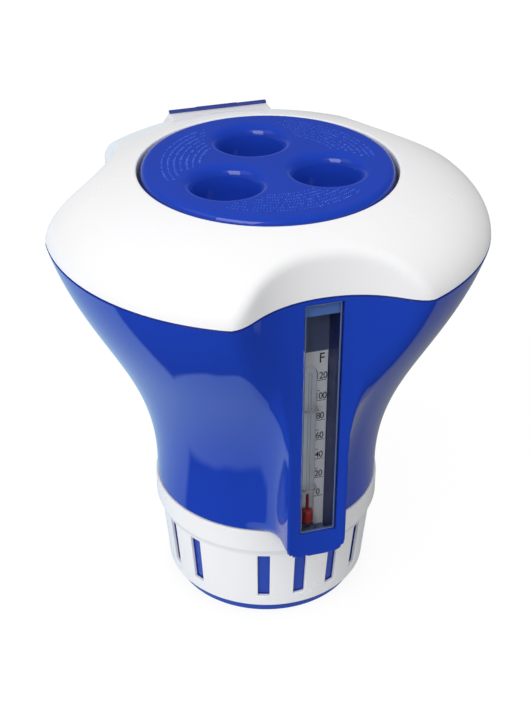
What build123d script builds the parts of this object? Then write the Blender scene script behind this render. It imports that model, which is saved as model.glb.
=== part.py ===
from build123d import *
import os
from math import cos, radians, sin, tan

# Floating chlorine dispenser. Millimetres, +Z up, origin at the centre of the
# flat foot. The thermometer faces -Y and the tie-off bracket is at +Y.
# A flared, three-lobed hull and a domed top shell make one sealed air chamber
# round a tablet tube. A screw lid closes the tube at the top. A vented basket
# hangs under it, with a slotted sleeve that turns to open or shut the vents.

# ---------------------------------------------------------------- whole form
ring_radius = 99.3        # hull rim, out to the lobes
seam_height = 190.7       # top of the hull rim
hull_base = 56.7          # underside of the hull and of the thermometer box
neck_space = 9.7          # tablet tube to the outside of the hull's straight neck
flare_start = 64.2        # where the neck begins to flare
flare_hold_low = 56.5     # how long the flare stays upright at its lower end
flare_hold_high = 43.7    # the same at its upper end
rim_lean = 11.95          # how far the flare leans in over that upper end
skin = 2.4                # wall of hull and top shell

# scallops between the lobes
lobes = 3
scallop_reach = 74.8      # axis to the bottom of a scallop
scallop_half = 17.6       # to the corner where bottom and side wall would meet
scallop_angle = 35.5      # slope of the scallop's side walls
scallop_root = 52.0       # large rounding of that corner
lobe_corner = 14.0        # rounding where side wall and ring meet

# seam between hull and top shell
seal_height = 0.6
seal_width = 1.6
shell_inset = 0.5         # shell rim stands this far inside the hull rim
seal_inset = 0.9
skirt_inset = 4.2         # locating skirt, in from the hull rim
skirt_wall = 1.6
skirt_depth = 4.5
skirt_gap = 0.3           # between the skirt and the thermometer pocket

# ---------------------------------------------------------------- top shell
dome_rise = 26.5          # seam to the rim of the lid's well
lid_side_gap = 1.6        # round the lid, to the wall of its well
recess_depth = 16.2
dome_shoulder = 19.9      # dome curve, outwards from the recess rim
dome_shoulder_drop = 3.0
dome_edge_in = 1.6        # dome curve, in from the shell rim
dome_edge_rise = 13.2     # and up from it
dome_soft = 4.5           # rounding between dome and scallop walls

# threaded neck in the middle of the well
neck_wall = 2.4
neck_sink = 3.2           # its top lies this far below the rim of the well
neck_reach = 3.7          # and its foot this far below the seam
thread_starts = 3
thread_lead = 36.0        # rise in one whole turn
thread_span = 62.0        # angle that each ridge covers
thread_depth = 2.0
thread_height = 2.2
thread_drop = 8.8         # neck's top to the middle of a ridge's lower end
thread_bite = 0.5         # how deep ridges and lugs root in their walls
lug_span = 16.0
lug_height = 2.0
thread_gap = 0.3          # between lug and ridge

# ---------------------------------------------------------------- lid
lid_stand = 1.8           # how far it stands above the rim of the well
lid_plate = 2.6
lid_edge_round = 3.4
lid_rim_height = 9.5      # wide rim, down from the top
lid_skirt_step = 1.2      # skirt stands this far inside the wide rim
lid_skirt_wall = 2.2
lid_skirt_space = 3.4     # between the neck and the skirt, for the thread
lid_skirt_gap = 1.0       # from the skirt's end to the floor of the well
seal_rib_wall = 1.2
seal_rib_height = 1.5
seal_side_gap = 0.3
cup_count = 3
cup_offset = 26.4         # lid axis to cup axis
cup_mouth = 14.2          # inside radius at the mouth, under its rounding
cup_foot = 12.8           # inside radius at the bottom
cup_depth = 21.0
cup_bowl = 9.0            # rounding at the bottom
cup_wall = 2.2
cup_lip = 5.6             # wide rounding at the mouth

# ---------------------------------------------------------------- tablet tube
tube_bore = 42.0
tube_wall = 2.2
tube_low = 47.0
tube_reach = 2.3          # its top lies this far above the seam
collar_gap = 0.2          # between the tube's collar and the neck's bore
collar_width = 2.6        # tube to the neck's bore
collar_height = 6.5
oring_height = 2.0
oring_depth = 1.4
tube_hole_gap = 0.2       # between the tube and the holes that it passes through
foot_seal_width = 2.4
foot_seal_height = 2.0
foot_flange_height = 2.0

# ---------------------------------------------------------------- thermometer
box_half = 14.0           # half width of the box on the hull's front
box_corner = 5.0          # its lower corners
box_round = 1.8           # its front edges
window_half = 8.5         # opening in the front face
window_side = 0.8         # the opening stands this far to the side of the middle
window_low = 69.7
window_margin = 1.6       # from the window's top to the seam
window_depth = 2.4        # front face to the ledge behind the cover
ledge = 0.8
pocket_depth = 15.1       # scallop's bottom to the back wall of the pocket
pocket_low = 59.5
cover_sink = 0.6          # cover lies this far behind the front face
cover_thick = 1.2
cover_gap = 0.2
card_half = 7.5
card_low = 61.0
card_high = 157.5
card_thick = 1.0
glass_radius = 2.9
glass_low = 66.0
glass_high = 152.0
glass_round = 2.5
glass_off_card = 0.3
glass_side = -0.7         # the glass stands this far to the side of the middle
spirit_bore = 0.6
bulb_radius = 2.4
bulb_round = 1.8
bulb_low = 67.6
bulb_high = 76.0
spirit_high = 84.0
clip_heights = (88.0, 131.0)
clip_width = 1.2
clip_wall = 0.6
clip_gap = 0.1
rest_radius = 7.3         # stepped rest under the bulb
rest_step = 3.4
rest_step_height = 2.6

# ---------------------------------------------------------------- sleeve
sleeve_low = 5.9
sleeve_taper = 3.08       # radius lost from the shoulder to the foot
sleeve_shoulder = 41.0
sleeve_shoulder_step = 2.3
sleeve_band_step = 0.9    # band stands this far outside the hull's neck
sleeve_band_low = 44.5
sleeve_gap = 0.3          # under the hull and over the base rim
sleeve_wall = 1.8
sleeve_lip = 1.4          # inward lip that the base rim carries
sleeve_lip_height = 2.0
slot_pitches = 18         # slot places round the sleeve
slot_blank = 6            # every sixth place is left blank
slot_blank_at = 4
slot_width = 6.0
slot_low = 12.3
slot_high = 39.3
slot_phase = 1.5          # degrees from the thermometer's plane

# ---------------------------------------------------------------- basket, base
turn_gap = 0.35           # radial, between the basket and the sleeve
basket_wall = 1.9
basket_top_plate = 2.4
basket_collar_wall = 2.0
basket_collar_low = 46.5
basket_vent_width = 6.4
groove_gap = 0.3          # round the sleeve's lip
spigot_gap = 0.1
spigot_wall = 1.8
spigot_top = 12.0
rim_step = 0.6            # base rim reaches out under the sleeve's lip
base_taper = 0.92         # radius lost from the rim to the foot
base_floor = 2.4
base_vents = 12
base_vent_width = 4.0
base_vent_length = 12.0
base_vent_offset = 22.0
ballast_width = 9.92
ballast_gap = 0.2
ballast_height = 6.0
grate_thick = 2.4
grate_hub = 7.0
grate_bar = 3.0
grate_rings = (18.0, 29.0)
grate_bars = 12

# ---------------------------------------------------------------- tie-off
pad_half = 24.3           # raised pad on the rear lobe, at its top
pad_foot_half = 29.0      # and where it meets the dome
pad_front = 64.0
pad_back = 82.0
pad_sink = 4.6            # its top lies this far below the rim of the well
pad_height = 6.6
pad_round = 0.8
strip_depth = 2.0         # bar of the bracket, on the pad's rear edge
strip_height = 1.2
plate_step = 0.7          # bar's top to the top of the bracket's plate
notch_half = 11.2
notch_depth = 16.8        # down from the pad's top
bracket_half = 10.4
bracket_wall = 2.2
tongue_drop = 11.6        # pad's top to the underside of the tongue
tongue_thick = 4.0
tongue_end = 97.0
tongue_round = 5.0
eye_radius = 4.0
eye_offset = 90.5

# ---------------------------------------------------------------- worked out
through = 60.0            # how far cutters run past what they cut
tube_outer = tube_bore + tube_wall
neck_bore = tube_outer + collar_width
neck_outer = neck_bore + neck_wall
lid_bore = neck_outer + lid_skirt_space
skirt_radius = lid_bore + lid_skirt_wall
lid_radius = skirt_radius + lid_skirt_step
recess_radius = lid_radius + lid_side_gap
neck_radius = tube_outer + neck_space
sleeve_band_radius = neck_radius + sleeve_band_step
sleeve_shoulder_radius = sleeve_band_radius - sleeve_shoulder_step
sleeve_foot_radius = sleeve_shoulder_radius - sleeve_taper
shell_low = seam_height + seal_height
recess_height = seam_height + dome_rise
recess_floor = recess_height - recess_depth
neck_top = recess_height - neck_sink
neck_bottom = seam_height - neck_reach
thread_low = neck_top - thread_drop
lid_top = recess_height + lid_stand
lid_rim_low = lid_top - lid_rim_height
lid_skirt_low = recess_floor + lid_skirt_gap
tube_top = seam_height + tube_reach
window_high = seam_height - window_margin
pad_top = recess_height - pad_sink
pad_foot = pad_top - pad_height
notch_floor = pad_top - notch_depth
tongue_low = pad_top - tongue_drop
shell_radius = ring_radius - shell_inset
lid_under = lid_top - lid_plate
pocket_half = window_half - ledge
pocket_wall = pocket_half + skin
pocket_back = scallop_reach - pocket_depth
ledge_at = scallop_reach - window_depth
card_front = pocket_back + card_thick
glass_at = card_front + glass_off_card + glass_radius
sleeve_top = hull_base - sleeve_gap
sleeve_slope = (sleeve_shoulder_radius - sleeve_foot_radius) / (sleeve_shoulder - sleeve_low)
lip_radius = sleeve_foot_radius - sleeve_wall - sleeve_lip
rim_top = sleeve_low - sleeve_gap
rim_radius = lip_radius + rim_step
spigot = lip_radius - groove_gap - basket_wall - spigot_gap
spigot_bore = spigot - spigot_wall
slot_pitch = 360.0 / slot_pitches
collar_low = tube_top - collar_height


def disc(radius, low, high):
    """Upright cylinder on the axis."""
    return Pos(0, 0, (low + high) / 2) * Cylinder(radius, high - low)


def ring(outer, inner, low, high):
    """Plain ring about the axis."""
    return disc(outer, low, high) - disc(inner, low, high)


def block(x0, x1, y0, y1, z0, z1):
    """Box between two corners."""
    return Pos((x0 + x1) / 2, (y0 + y1) / 2, (z0 + z1) / 2) * Box(x1 - x0, y1 - y0, z1 - z0)


def turned(*corners):
    """Solid turned about the axis from (radius, height) corners."""
    outline = Polyline(*[(r, 0, z) for r, z in corners], close=True)
    return revolve(make_face(outline), Axis.Z)


def around(shape, count, start=0.0):
    """Copies of a shape, evenly spaced about the axis."""
    return [Rot(0, 0, start + 360.0 / count * i) * shape for i in range(count)]


# ---------------------------------------------------------------- lobed plan
def scallop_cutters(inset, low, high):
    """Prisms that fill the scallops, each grown towards the axis by inset."""
    reach = scallop_reach - inset
    half = scallop_half + inset * tan(radians(scallop_angle / 2))
    run = ring_radius
    side_x = half + run * cos(radians(scallop_angle))
    side_y = reach + run * sin(radians(scallop_angle))
    outline = Polyline(
        (-side_x, -side_y), (-half, -reach), (half, -reach), (side_x, -side_y),
        (side_x, -side_y - through), (-side_x, -side_y - through), close=True,
    )
    face = make_face(outline)
    face = fillet(face.vertices().sort_by(Axis.Y)[-2:], scallop_root + inset)
    prism = Pos(0, 0, low) * extrude(face, amount=high - low)
    return around(prism, lobes)


def lobed_disc(inset, low, high, scallop_inset=None):
    """Slab with the lobed plan, moved in from the hull rim by inset."""
    radius = ring_radius - inset
    cut = inset if scallop_inset is None else scallop_inset
    slab = disc(radius, low, high) - scallop_cutters(cut, low, high)
    corners = [
        e for e in slab.edges().filter_by(Axis.Z)
        if abs(Vector(e.center().X, e.center().Y).length - radius) < 0.01
        and abs(e.center().Y) > 0.01
    ]
    return fillet(corners, lobe_corner - inset)


def lobed_band(outer_inset, inner_inset, low, high):
    """Narrow band that follows the lobed plan."""
    return lobed_disc(outer_inset, low, high) - lobed_disc(inner_inset, low, high)


# ---------------------------------------------------------------- hull
def flare(inset):
    """Round flared body, its wall moved in by inset and its floor raised."""
    foot = neck_radius - inset
    rim = ring_radius - inset
    floor = hull_base + inset
    outline = [
        Line((0, 0, floor), (foot, 0, floor)),
        Line((foot, 0, floor), (foot, 0, flare_start)),
        Bezier(
            (foot, 0, flare_start), (foot, 0, flare_start + flare_hold_low),
            (rim - rim_lean, 0, seam_height - flare_hold_high), (rim, 0, seam_height),
        ),
        Line((rim, 0, seam_height), (0, 0, seam_height)),
        Line((0, 0, seam_height), (0, 0, floor)),
    ]
    return Rot(0, 0, 90) * revolve(make_face(outline), Axis.Z)


def box_outside():
    """Thermometer box on the hull's front, rounded along its front edges."""
    outline = Polyline(
        (-box_half, hull_base), (box_half, hull_base),
        (box_half, seam_height), (-box_half, seam_height), close=True,
    )
    face = make_face(outline)
    face = fillet(face.vertices().sort_by(Axis.Y)[:2], box_corner)
    solid = extrude(Plane.XZ.offset(tube_outer) * face, amount=ring_radius - tube_outer)
    solid -= scallop_cutters(0, hull_base, seam_height)
    front = [e for e in solid.edges() if e.center().Y < -ledge_at and e.center().Z < seam_height - box_round]
    outer = [e for e in front if abs(e.center().X) > box_half - box_corner or e.center().Z < hull_base + 0.01]
    return fillet(outer, box_round)


def at_window(x0, x1, y0, y1, z0, z1):
    """Box between two corners, its sides measured from the window's middle."""
    return Pos(window_side, 0, 0) * block(x0, x1, y0, y1, z0, z1)


def make_hull():
    outside = flare(0) & lobed_disc(0, hull_base, seam_height)
    inside = flare(skin) & lobed_disc(skin, hull_base, seam_height)
    inside -= at_window(-pocket_wall, pocket_wall, -ring_radius, skin - pocket_back, hull_base, seam_height)
    hull = outside + box_outside() - inside
    hull -= disc(tube_outer + tube_hole_gap, hull_base, hull_base + skin)
    hull -= at_window(-window_half, window_half, -ring_radius, -ledge_at, window_low, window_high)
    return hull - at_window(-pocket_half, pocket_half, -ledge_at, -pocket_back,
                            pocket_low, window_high - ledge)


# ---------------------------------------------------------------- top shell
def dome(inset):
    """Domed body over the seam, its surface moved in by inset."""
    rim = shell_radius - inset
    top = recess_height - inset
    shoulder = recess_radius + dome_shoulder
    outline = [
        Line((0, 0, shell_low), (rim, 0, shell_low)),
        Bezier(
            (rim, 0, shell_low), (rim - dome_edge_in, 0, shell_low + dome_edge_rise - inset),
            (shoulder - inset, 0, top - dome_shoulder_drop), (recess_radius, 0, top),
        ),
        Line((recess_radius, 0, top), (0, 0, top)),
        Line((0, 0, top), (0, 0, shell_low)),
    ]
    return Rot(0, 0, 90) * revolve(make_face(outline), Axis.Z)


def thread_piece(radius, reach_in, reach_out, height, span, low, start):
    """Short helical bar on a round wall, from reach_in to reach_out of the wall's radius."""
    rise = thread_lead * span / 360.0
    path = Helix(pitch=thread_lead, height=rise, radius=radius)
    radial = Vector((path @ 0).X, (path @ 0).Y, 0).normalized()
    plane = Plane(origin=path @ 0, x_dir=radial, z_dir=path % 0)
    middle = (reach_out - reach_in) / 2
    section = plane * Pos(middle, 0) * Rectangle(reach_in + reach_out, height)
    bar = sweep(section, path=path, is_frenet=True)
    return Rot(0, 0, start) * Pos(0, 0, low) * bar


def pad_outside():
    """Raised pad on the rear lobe, with sloping ends."""
    outline = Polyline(
        (-pad_foot_half, pad_foot), (pad_foot_half, pad_foot),
        (pad_half, pad_top), (-pad_half, pad_top), close=True,
    )
    solid = extrude(Plane.XZ.offset(-pad_back) * make_face(outline), amount=pad_back - pad_front)
    top = solid.faces().sort_by(Axis.Z)[-1]
    return fillet(top.edges().filter_by(Axis.Y), pad_round)


def make_top_shell():
    plan = lobed_disc(0, shell_low, recess_height, scallop_inset=shell_inset)
    outside = dome(0) & plan
    outside = fillet(outside.edges().filter_by(GeomType.BSPLINE), dome_soft)
    inside = dome(skin) & lobed_disc(skin, shell_low, recess_height)
    notch_wall = notch_half + skin
    inside -= block(-notch_wall, notch_wall, pad_back - skin, ring_radius, notch_floor - skin, recess_height)
    shell = outside + pad_outside()
    shell -= inside
    shell -= disc(recess_radius, shell_low, recess_height)
    shell -= block(-notch_half, notch_half, pad_back, ring_radius + through, notch_floor, recess_height)
    skirt_low = shell_low - skirt_depth
    skirt = lobed_band(skirt_inset, skirt_inset + skirt_wall, skirt_low, shell_low + skin)
    clear = pocket_wall + skirt_gap
    return shell + skirt - at_window(-clear, clear, -ring_radius, 0, skirt_low, shell_low)


def make_lid_well():
    """Well under the dome's opening, with the threaded neck that the lid screws on."""
    wall = recess_radius + skin
    well = ring(wall, recess_radius, recess_floor - skin, recess_height) & dome(skin)
    well += ring(wall, neck_bore, recess_floor - skin, recess_floor)
    well += ring(neck_outer, neck_bore, neck_bottom, neck_top)
    for i in range(thread_starts):
        well += thread_piece(neck_outer, thread_bite, thread_depth, thread_height,
                             thread_span, thread_low, 360.0 / thread_starts * i)
    return well


# ---------------------------------------------------------------- lid
def cup_solid(grow):
    """Finger cup as a solid, its wall moved out by grow."""
    bottom = lid_top - cup_depth - grow
    outline = Polyline(
        (0, 0, bottom), (cup_foot + grow, 0, bottom), (cup_mouth + grow, 0, lid_top),
        (0, 0, lid_top), close=True,
    )
    solid = revolve(make_face(outline), Axis.Z)
    return fillet(solid.edges().sort_by(Axis.Z)[0], cup_bowl + grow)


def make_lid():
    lid = turned(
        (0, lid_under), (lid_bore, lid_under), (lid_bore, lid_skirt_low),
        (skirt_radius, lid_skirt_low), (skirt_radius, lid_rim_low),
        (lid_radius, lid_rim_low), (lid_radius, lid_top), (0, lid_top),
    )
    lid = fillet(lid.edges().filter_by(GeomType.CIRCLE).sort_by(Axis.Z)[-1], lid_edge_round)
    lid += around(Pos(0, cup_offset, 0) * cup_solid(cup_wall), cup_count)
    lid -= around(Pos(0, cup_offset, 0) * cup_solid(0), cup_count)
    mouths = [e for e in lid.edges().filter_by(GeomType.CIRCLE)
              if abs(e.center().Z - lid_top) < 0.01 and abs(e.radius - cup_mouth) < 0.01]
    lid = fillet(mouths, cup_lip)
    rib = neck_bore - seal_side_gap
    lid += ring(rib, rib - seal_rib_wall, lid_under - seal_rib_height, lid_under)
    drop = (thread_height + lug_height) / 2 + thread_gap
    for i in range(thread_starts):
        lid += thread_piece(lid_bore, lid_bore - neck_outer - 2 * thread_gap, thread_bite, lug_height,
                            lug_span, thread_low - drop, 360.0 / thread_starts * i)
    return lid


def make_lid_seal():
    return ring(neck_outer, neck_bore, neck_top, lid_under)


# ---------------------------------------------------------------- tablet tube
def make_tablet_tube():
    collar = neck_bore - collar_gap
    groove_low = collar_low + (collar_height - oring_height) / 2
    seal_top = hull_base + skin + foot_seal_height
    tube = ring(tube_outer, tube_bore, tube_low, tube_top)
    tube += ring(collar, tube_bore, collar_low, tube_top)
    tube -= ring(collar, neck_bore - oring_depth, groove_low, groove_low + oring_height)
    flange = tube_outer + foot_seal_width
    return tube + ring(flange, tube_bore, seal_top, seal_top + foot_flange_height)


def make_tube_top_seal():
    groove_low = collar_low + (collar_height - oring_height) / 2
    return ring(neck_bore, neck_bore - oring_depth, groove_low, groove_low + oring_height)


def make_tube_foot_seal():
    low = hull_base + skin
    return ring(tube_outer + foot_seal_width, tube_outer, low, low + foot_seal_height)


# ---------------------------------------------------------------- thermometer
def make_window_cover():
    half = window_half - cover_gap
    front = cover_sink - scallop_reach
    return at_window(-half, half, front, front + cover_thick, window_low + cover_gap, window_high - cover_gap)


def make_window_gasket():
    half = window_half - cover_gap
    front = cover_sink + cover_thick - scallop_reach
    frame = at_window(-half, half, front, -ledge_at, window_low + cover_gap, window_high - cover_gap)
    return frame - at_window(-pocket_half, pocket_half, front, -ledge_at,
                             window_low + ledge, window_high - ledge)


def make_scale_card():
    return at_window(-card_half, card_half, -card_front, -pocket_back, card_low, card_high)


def spirit_shape():
    """Bulb and thin column, as one solid."""
    bulb = disc(bulb_radius, bulb_low, bulb_high)
    bulb = fillet(bulb.edges().filter_by(GeomType.CIRCLE), bulb_round)
    return Pos(glass_side, -glass_at, 0) * (bulb + disc(spirit_bore, bulb_high - bulb_radius, spirit_high))


def make_glass_tube():
    glass = disc(glass_radius, glass_low, glass_high)
    glass = fillet(glass.edges().filter_by(GeomType.CIRCLE), glass_round)
    bore = disc(spirit_bore, bulb_high - bulb_radius, glass_high - glass_radius)
    return Pos(glass_side, -glass_at, 0) * (glass - bore) - spirit_shape()


def make_tube_clips():
    """Two thin straps that hold the glass on the card."""
    inner = glass_radius + clip_gap
    outer = inner + clip_wall
    clips = []
    foot = glass_at - card_front
    for height in clip_heights:
        low = height - clip_width / 2
        high = height + clip_width / 2
        strap = disc(outer, low, high) & block(-outer, outer, -outer, 0, low, high)
        strap += block(-outer, outer, 0, foot, low, high)
        strap -= disc(inner, low, high) + block(-inner, inner, 0, foot, low, high)
        clips.append(Pos(glass_side, -glass_at, 0) * strap)
    return clips


def make_bulb_rest():
    """Stepped half-round rest on the floor of the pocket."""
    step = glass_low - rest_step_height
    rest = Pos(window_side, -glass_at, 0) * disc(rest_radius, pocket_low, step)
    rest += Pos(glass_side, -glass_at, 0) * disc(rest_step, step, glass_low)
    return rest & at_window(-pocket_half, pocket_half, -ledge_at, -card_front, pocket_low, glass_low)


# ---------------------------------------------------------------- sleeve
def slots(width, phase):
    """Radial cutters, one for each slot place that isn't blank."""
    reach = sleeve_band_radius
    cutter = block(tube_bore, reach, -width / 2, width / 2, slot_low, slot_high)
    places = [i for i in range(slot_pitches) if i % slot_blank != slot_blank_at]
    return [Rot(0, 0, phase - 90 + slot_pitch * i) * cutter for i in places]


def make_control_sleeve():
    band_bore = sleeve_band_radius - sleeve_wall
    lip_top = sleeve_low + sleeve_lip_height
    inner_foot = sleeve_foot_radius + sleeve_slope * sleeve_lip_height - sleeve_wall
    sleeve = turned(
        (lip_radius, sleeve_low), (sleeve_foot_radius, sleeve_low),
        (sleeve_shoulder_radius, sleeve_shoulder), (sleeve_band_radius, sleeve_band_low),
        (sleeve_band_radius, sleeve_top), (band_bore, sleeve_top), (band_bore, sleeve_band_low),
        (sleeve_shoulder_radius - sleeve_wall, sleeve_shoulder), (inner_foot, lip_top),
        (lip_radius, lip_top),
    )
    return sleeve - slots(slot_width, slot_phase)


# ---------------------------------------------------------------- basket
def basket_radius(height):
    """Outside of the basket, just inside the sleeve's sloping wall."""
    return sleeve_foot_radius + sleeve_slope * (height - sleeve_low) - sleeve_wall - turn_gap


def make_basket():
    groove = lip_radius - groove_gap
    groove_top = sleeve_low + sleeve_lip_height + groove_gap
    foot_bore = groove - basket_wall
    bore = basket_radius(groove_top) - basket_wall
    plate_low = hull_base - basket_top_plate
    hole = tube_outer + tube_hole_gap
    basket = turned(
        (foot_bore, rim_top), (groove, rim_top), (groove, groove_top),
        (basket_radius(groove_top), groove_top), (basket_radius(hull_base), hull_base),
        (hole, hull_base), (hole, basket_collar_low), (hole + basket_collar_wall, basket_collar_low),
        (hole + basket_collar_wall, plate_low), (basket_radius(plate_low) - basket_wall, plate_low),
        (bore + sleeve_slope * basket_wall, groove_top + basket_wall), (foot_bore, groove_top),
    )
    return basket - slots(basket_vent_width, slot_phase + slot_pitch / 2)


def make_base_cap():
    cap = turned(
        (0, 0), (rim_radius - base_taper, 0), (rim_radius, rim_top), (spigot, rim_top),
        (spigot, spigot_top), (spigot_bore, spigot_top), (spigot_bore, base_floor), (0, base_floor),
    )
    vent = block(base_vent_offset - base_vent_length / 2, base_vent_offset + base_vent_length / 2,
                 -base_vent_width / 2, base_vent_width / 2, 0, base_floor)
    return cap - around(vent, base_vents)


def make_ballast_ring():
    outer = spigot_bore - ballast_gap
    return ring(outer, outer - ballast_width, base_floor, base_floor + ballast_height)


def make_tablet_grate():
    """Open grid that keeps the tablets off the floor; it lies on the ballast ring."""
    low = base_floor + ballast_height
    high = low + grate_thick
    outer = spigot_bore - ballast_gap
    grate = disc(grate_hub, low, high) + ring(outer, outer - grate_bar, low, high)
    for radius in grate_rings:
        grate += ring(radius + grate_bar / 2, radius - grate_bar / 2, low, high)
    bar = block(0, outer - grate_bar / 2, -grate_bar / 2, grate_bar / 2, low, high)
    return grate + around(bar, grate_bars)


# ---------------------------------------------------------------- tie-off
def make_tie_off_bracket():
    """Bar that hooks over the pad's rear edge, with a tongue and eye below it."""
    top = pad_top + strip_height
    plate_top = top - plate_step
    bar = block(-pad_half, pad_half, pad_back - strip_depth, pad_back, pad_top, top)
    plate = block(-bracket_half, bracket_half, pad_back, pad_back + bracket_wall, tongue_low, plate_top)
    tongue = block(-bracket_half, bracket_half, pad_back, tongue_end, tongue_low, tongue_low + tongue_thick)
    ends = tongue.edges().filter_by(Axis.Z).sort_by(Axis.Y)[-2:]
    tongue = fillet(ends, tongue_round)
    eye = Pos(0, eye_offset, 0) * disc(eye_radius, tongue_low, tongue_low + tongue_thick)
    return bar + plate + tongue - eye


def make_seam_seal():
    return lobed_band(seal_inset, seal_inset + seal_width, seam_height, shell_low)


nodes = {
    "hull": make_hull,
    "top_shell": make_top_shell,
    "lid_well": make_lid_well,
    "seam_seal": make_seam_seal,
    "lid": make_lid,
    "lid_seal": make_lid_seal,
    "tablet_tube": make_tablet_tube,
    "tube_top_seal": make_tube_top_seal,
    "tube_foot_seal": make_tube_foot_seal,
    "window_cover": make_window_cover,
    "window_gasket": make_window_gasket,
    "scale_card": make_scale_card,
    "glass_tube": make_glass_tube,
    "red_spirit": spirit_shape,
    "tube_clips": make_tube_clips,
    "bulb_rest": make_bulb_rest,
    "control_sleeve": make_control_sleeve,
    "basket": make_basket,
    "base_cap": make_base_cap,
    "ballast_ring": make_ballast_ring,
    "tablet_grate": make_tablet_grate,
    "tie_off_bracket": make_tie_off_bracket,
}

os.makedirs("parts", exist_ok=True)
for name, make in nodes.items():
    shape = make()
    if isinstance(shape, list):
        shape = Compound(children=shape)
    export_step(shape, f"parts/{name}.step")
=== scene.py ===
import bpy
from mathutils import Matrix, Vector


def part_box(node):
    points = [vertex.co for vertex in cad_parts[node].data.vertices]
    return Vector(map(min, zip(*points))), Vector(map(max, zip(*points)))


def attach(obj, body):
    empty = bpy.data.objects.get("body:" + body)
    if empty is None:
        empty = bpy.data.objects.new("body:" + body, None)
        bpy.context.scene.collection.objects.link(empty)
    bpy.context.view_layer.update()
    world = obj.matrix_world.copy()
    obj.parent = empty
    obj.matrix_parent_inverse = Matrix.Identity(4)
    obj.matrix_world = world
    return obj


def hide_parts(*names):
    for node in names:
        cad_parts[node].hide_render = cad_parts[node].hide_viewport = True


bl_info = {
    "name": "Floating chlorine dispenser",
    "version": (1, 0, 0),
    "blender": (4, 5, 0),
    "location": "3D View > Sidebar > Dispenser",
    "description": "Dresses the packed dispenser: smooth mouldings, lid, slotted sleeve, thermometer and studio",
    "category": "Object",
}

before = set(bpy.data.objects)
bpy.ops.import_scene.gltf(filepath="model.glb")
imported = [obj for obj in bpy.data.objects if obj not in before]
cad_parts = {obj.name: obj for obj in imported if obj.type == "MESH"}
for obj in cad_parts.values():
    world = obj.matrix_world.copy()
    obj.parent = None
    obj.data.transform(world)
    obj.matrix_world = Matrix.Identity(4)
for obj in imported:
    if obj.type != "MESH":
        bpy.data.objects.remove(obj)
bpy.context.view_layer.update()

from math import atan, atan2, cos, degrees, pi, radians, sin, tan

import bmesh
import bpy
import numpy as np
from bpy.props import FloatProperty, FloatVectorProperty, IntProperty, PointerProperty
from mathutils import Matrix, Vector

MM = 0.001
FRONT = -pi / 2                        # the thermometer faces -Y
THIRD = 2 * pi / 3
HULL_LOW, HULL_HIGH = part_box("hull")
SHELL_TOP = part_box("top_shell")[1].z
WELL_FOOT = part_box("lid_well")[0].z
NECK_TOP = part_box("lid_seal")[0].z
LID_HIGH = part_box("lid")[1]
SLEEVE_LOW, SLEEVE_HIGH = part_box("control_sleeve")
BASKET_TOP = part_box("basket")[1].z
TUBE_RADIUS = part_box("tablet_tube")[1].x
SEAL_LOW, SEAL_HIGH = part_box("seam_seal")
CARD_LOW, CARD_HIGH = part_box("scale_card")
COVER_LOW, COVER_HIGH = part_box("window_cover")
HAIR = 1e-6                            # for comparing heights and radii
CAP_HEIGHT = 0.7                       # of a capital letter, in a font of size 1
NARROW = 0.82                          # width of the printed letters beside the font's own

CAMERA_AT = Vector((-0.1725, -0.5438, 0.4762))
LOOK_AT = Vector((0.0, 0.0, 0.1))
CAMERA_SIDE = Vector((CAMERA_AT.x, CAMERA_AT.y, 0.0)).normalized()
CAMERA_RIGHT = Vector((-CAMERA_SIDE.y, CAMERA_SIDE.x, 0.0))
CAMERA_ROLL = radians(0.357)


def length(name, description, default):
    """A size, with its default in millimetres."""
    return FloatProperty(name=name, description=description, default=default * MM, min=0.0, unit="LENGTH",
                         precision=5)


def angle(name, description, default):
    """An angle, with its default in degrees."""
    return FloatProperty(name=name, description=description, default=radians(default), unit="ROTATION")


def count(name, description, default, least=1):
    return IntProperty(name=name, description=description, default=default, min=least)


def colour(name, description, default):
    return FloatVectorProperty(name=name, description=description, default=default, size=3,
                               min=0.0, max=1.0, subtype="COLOR")


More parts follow.
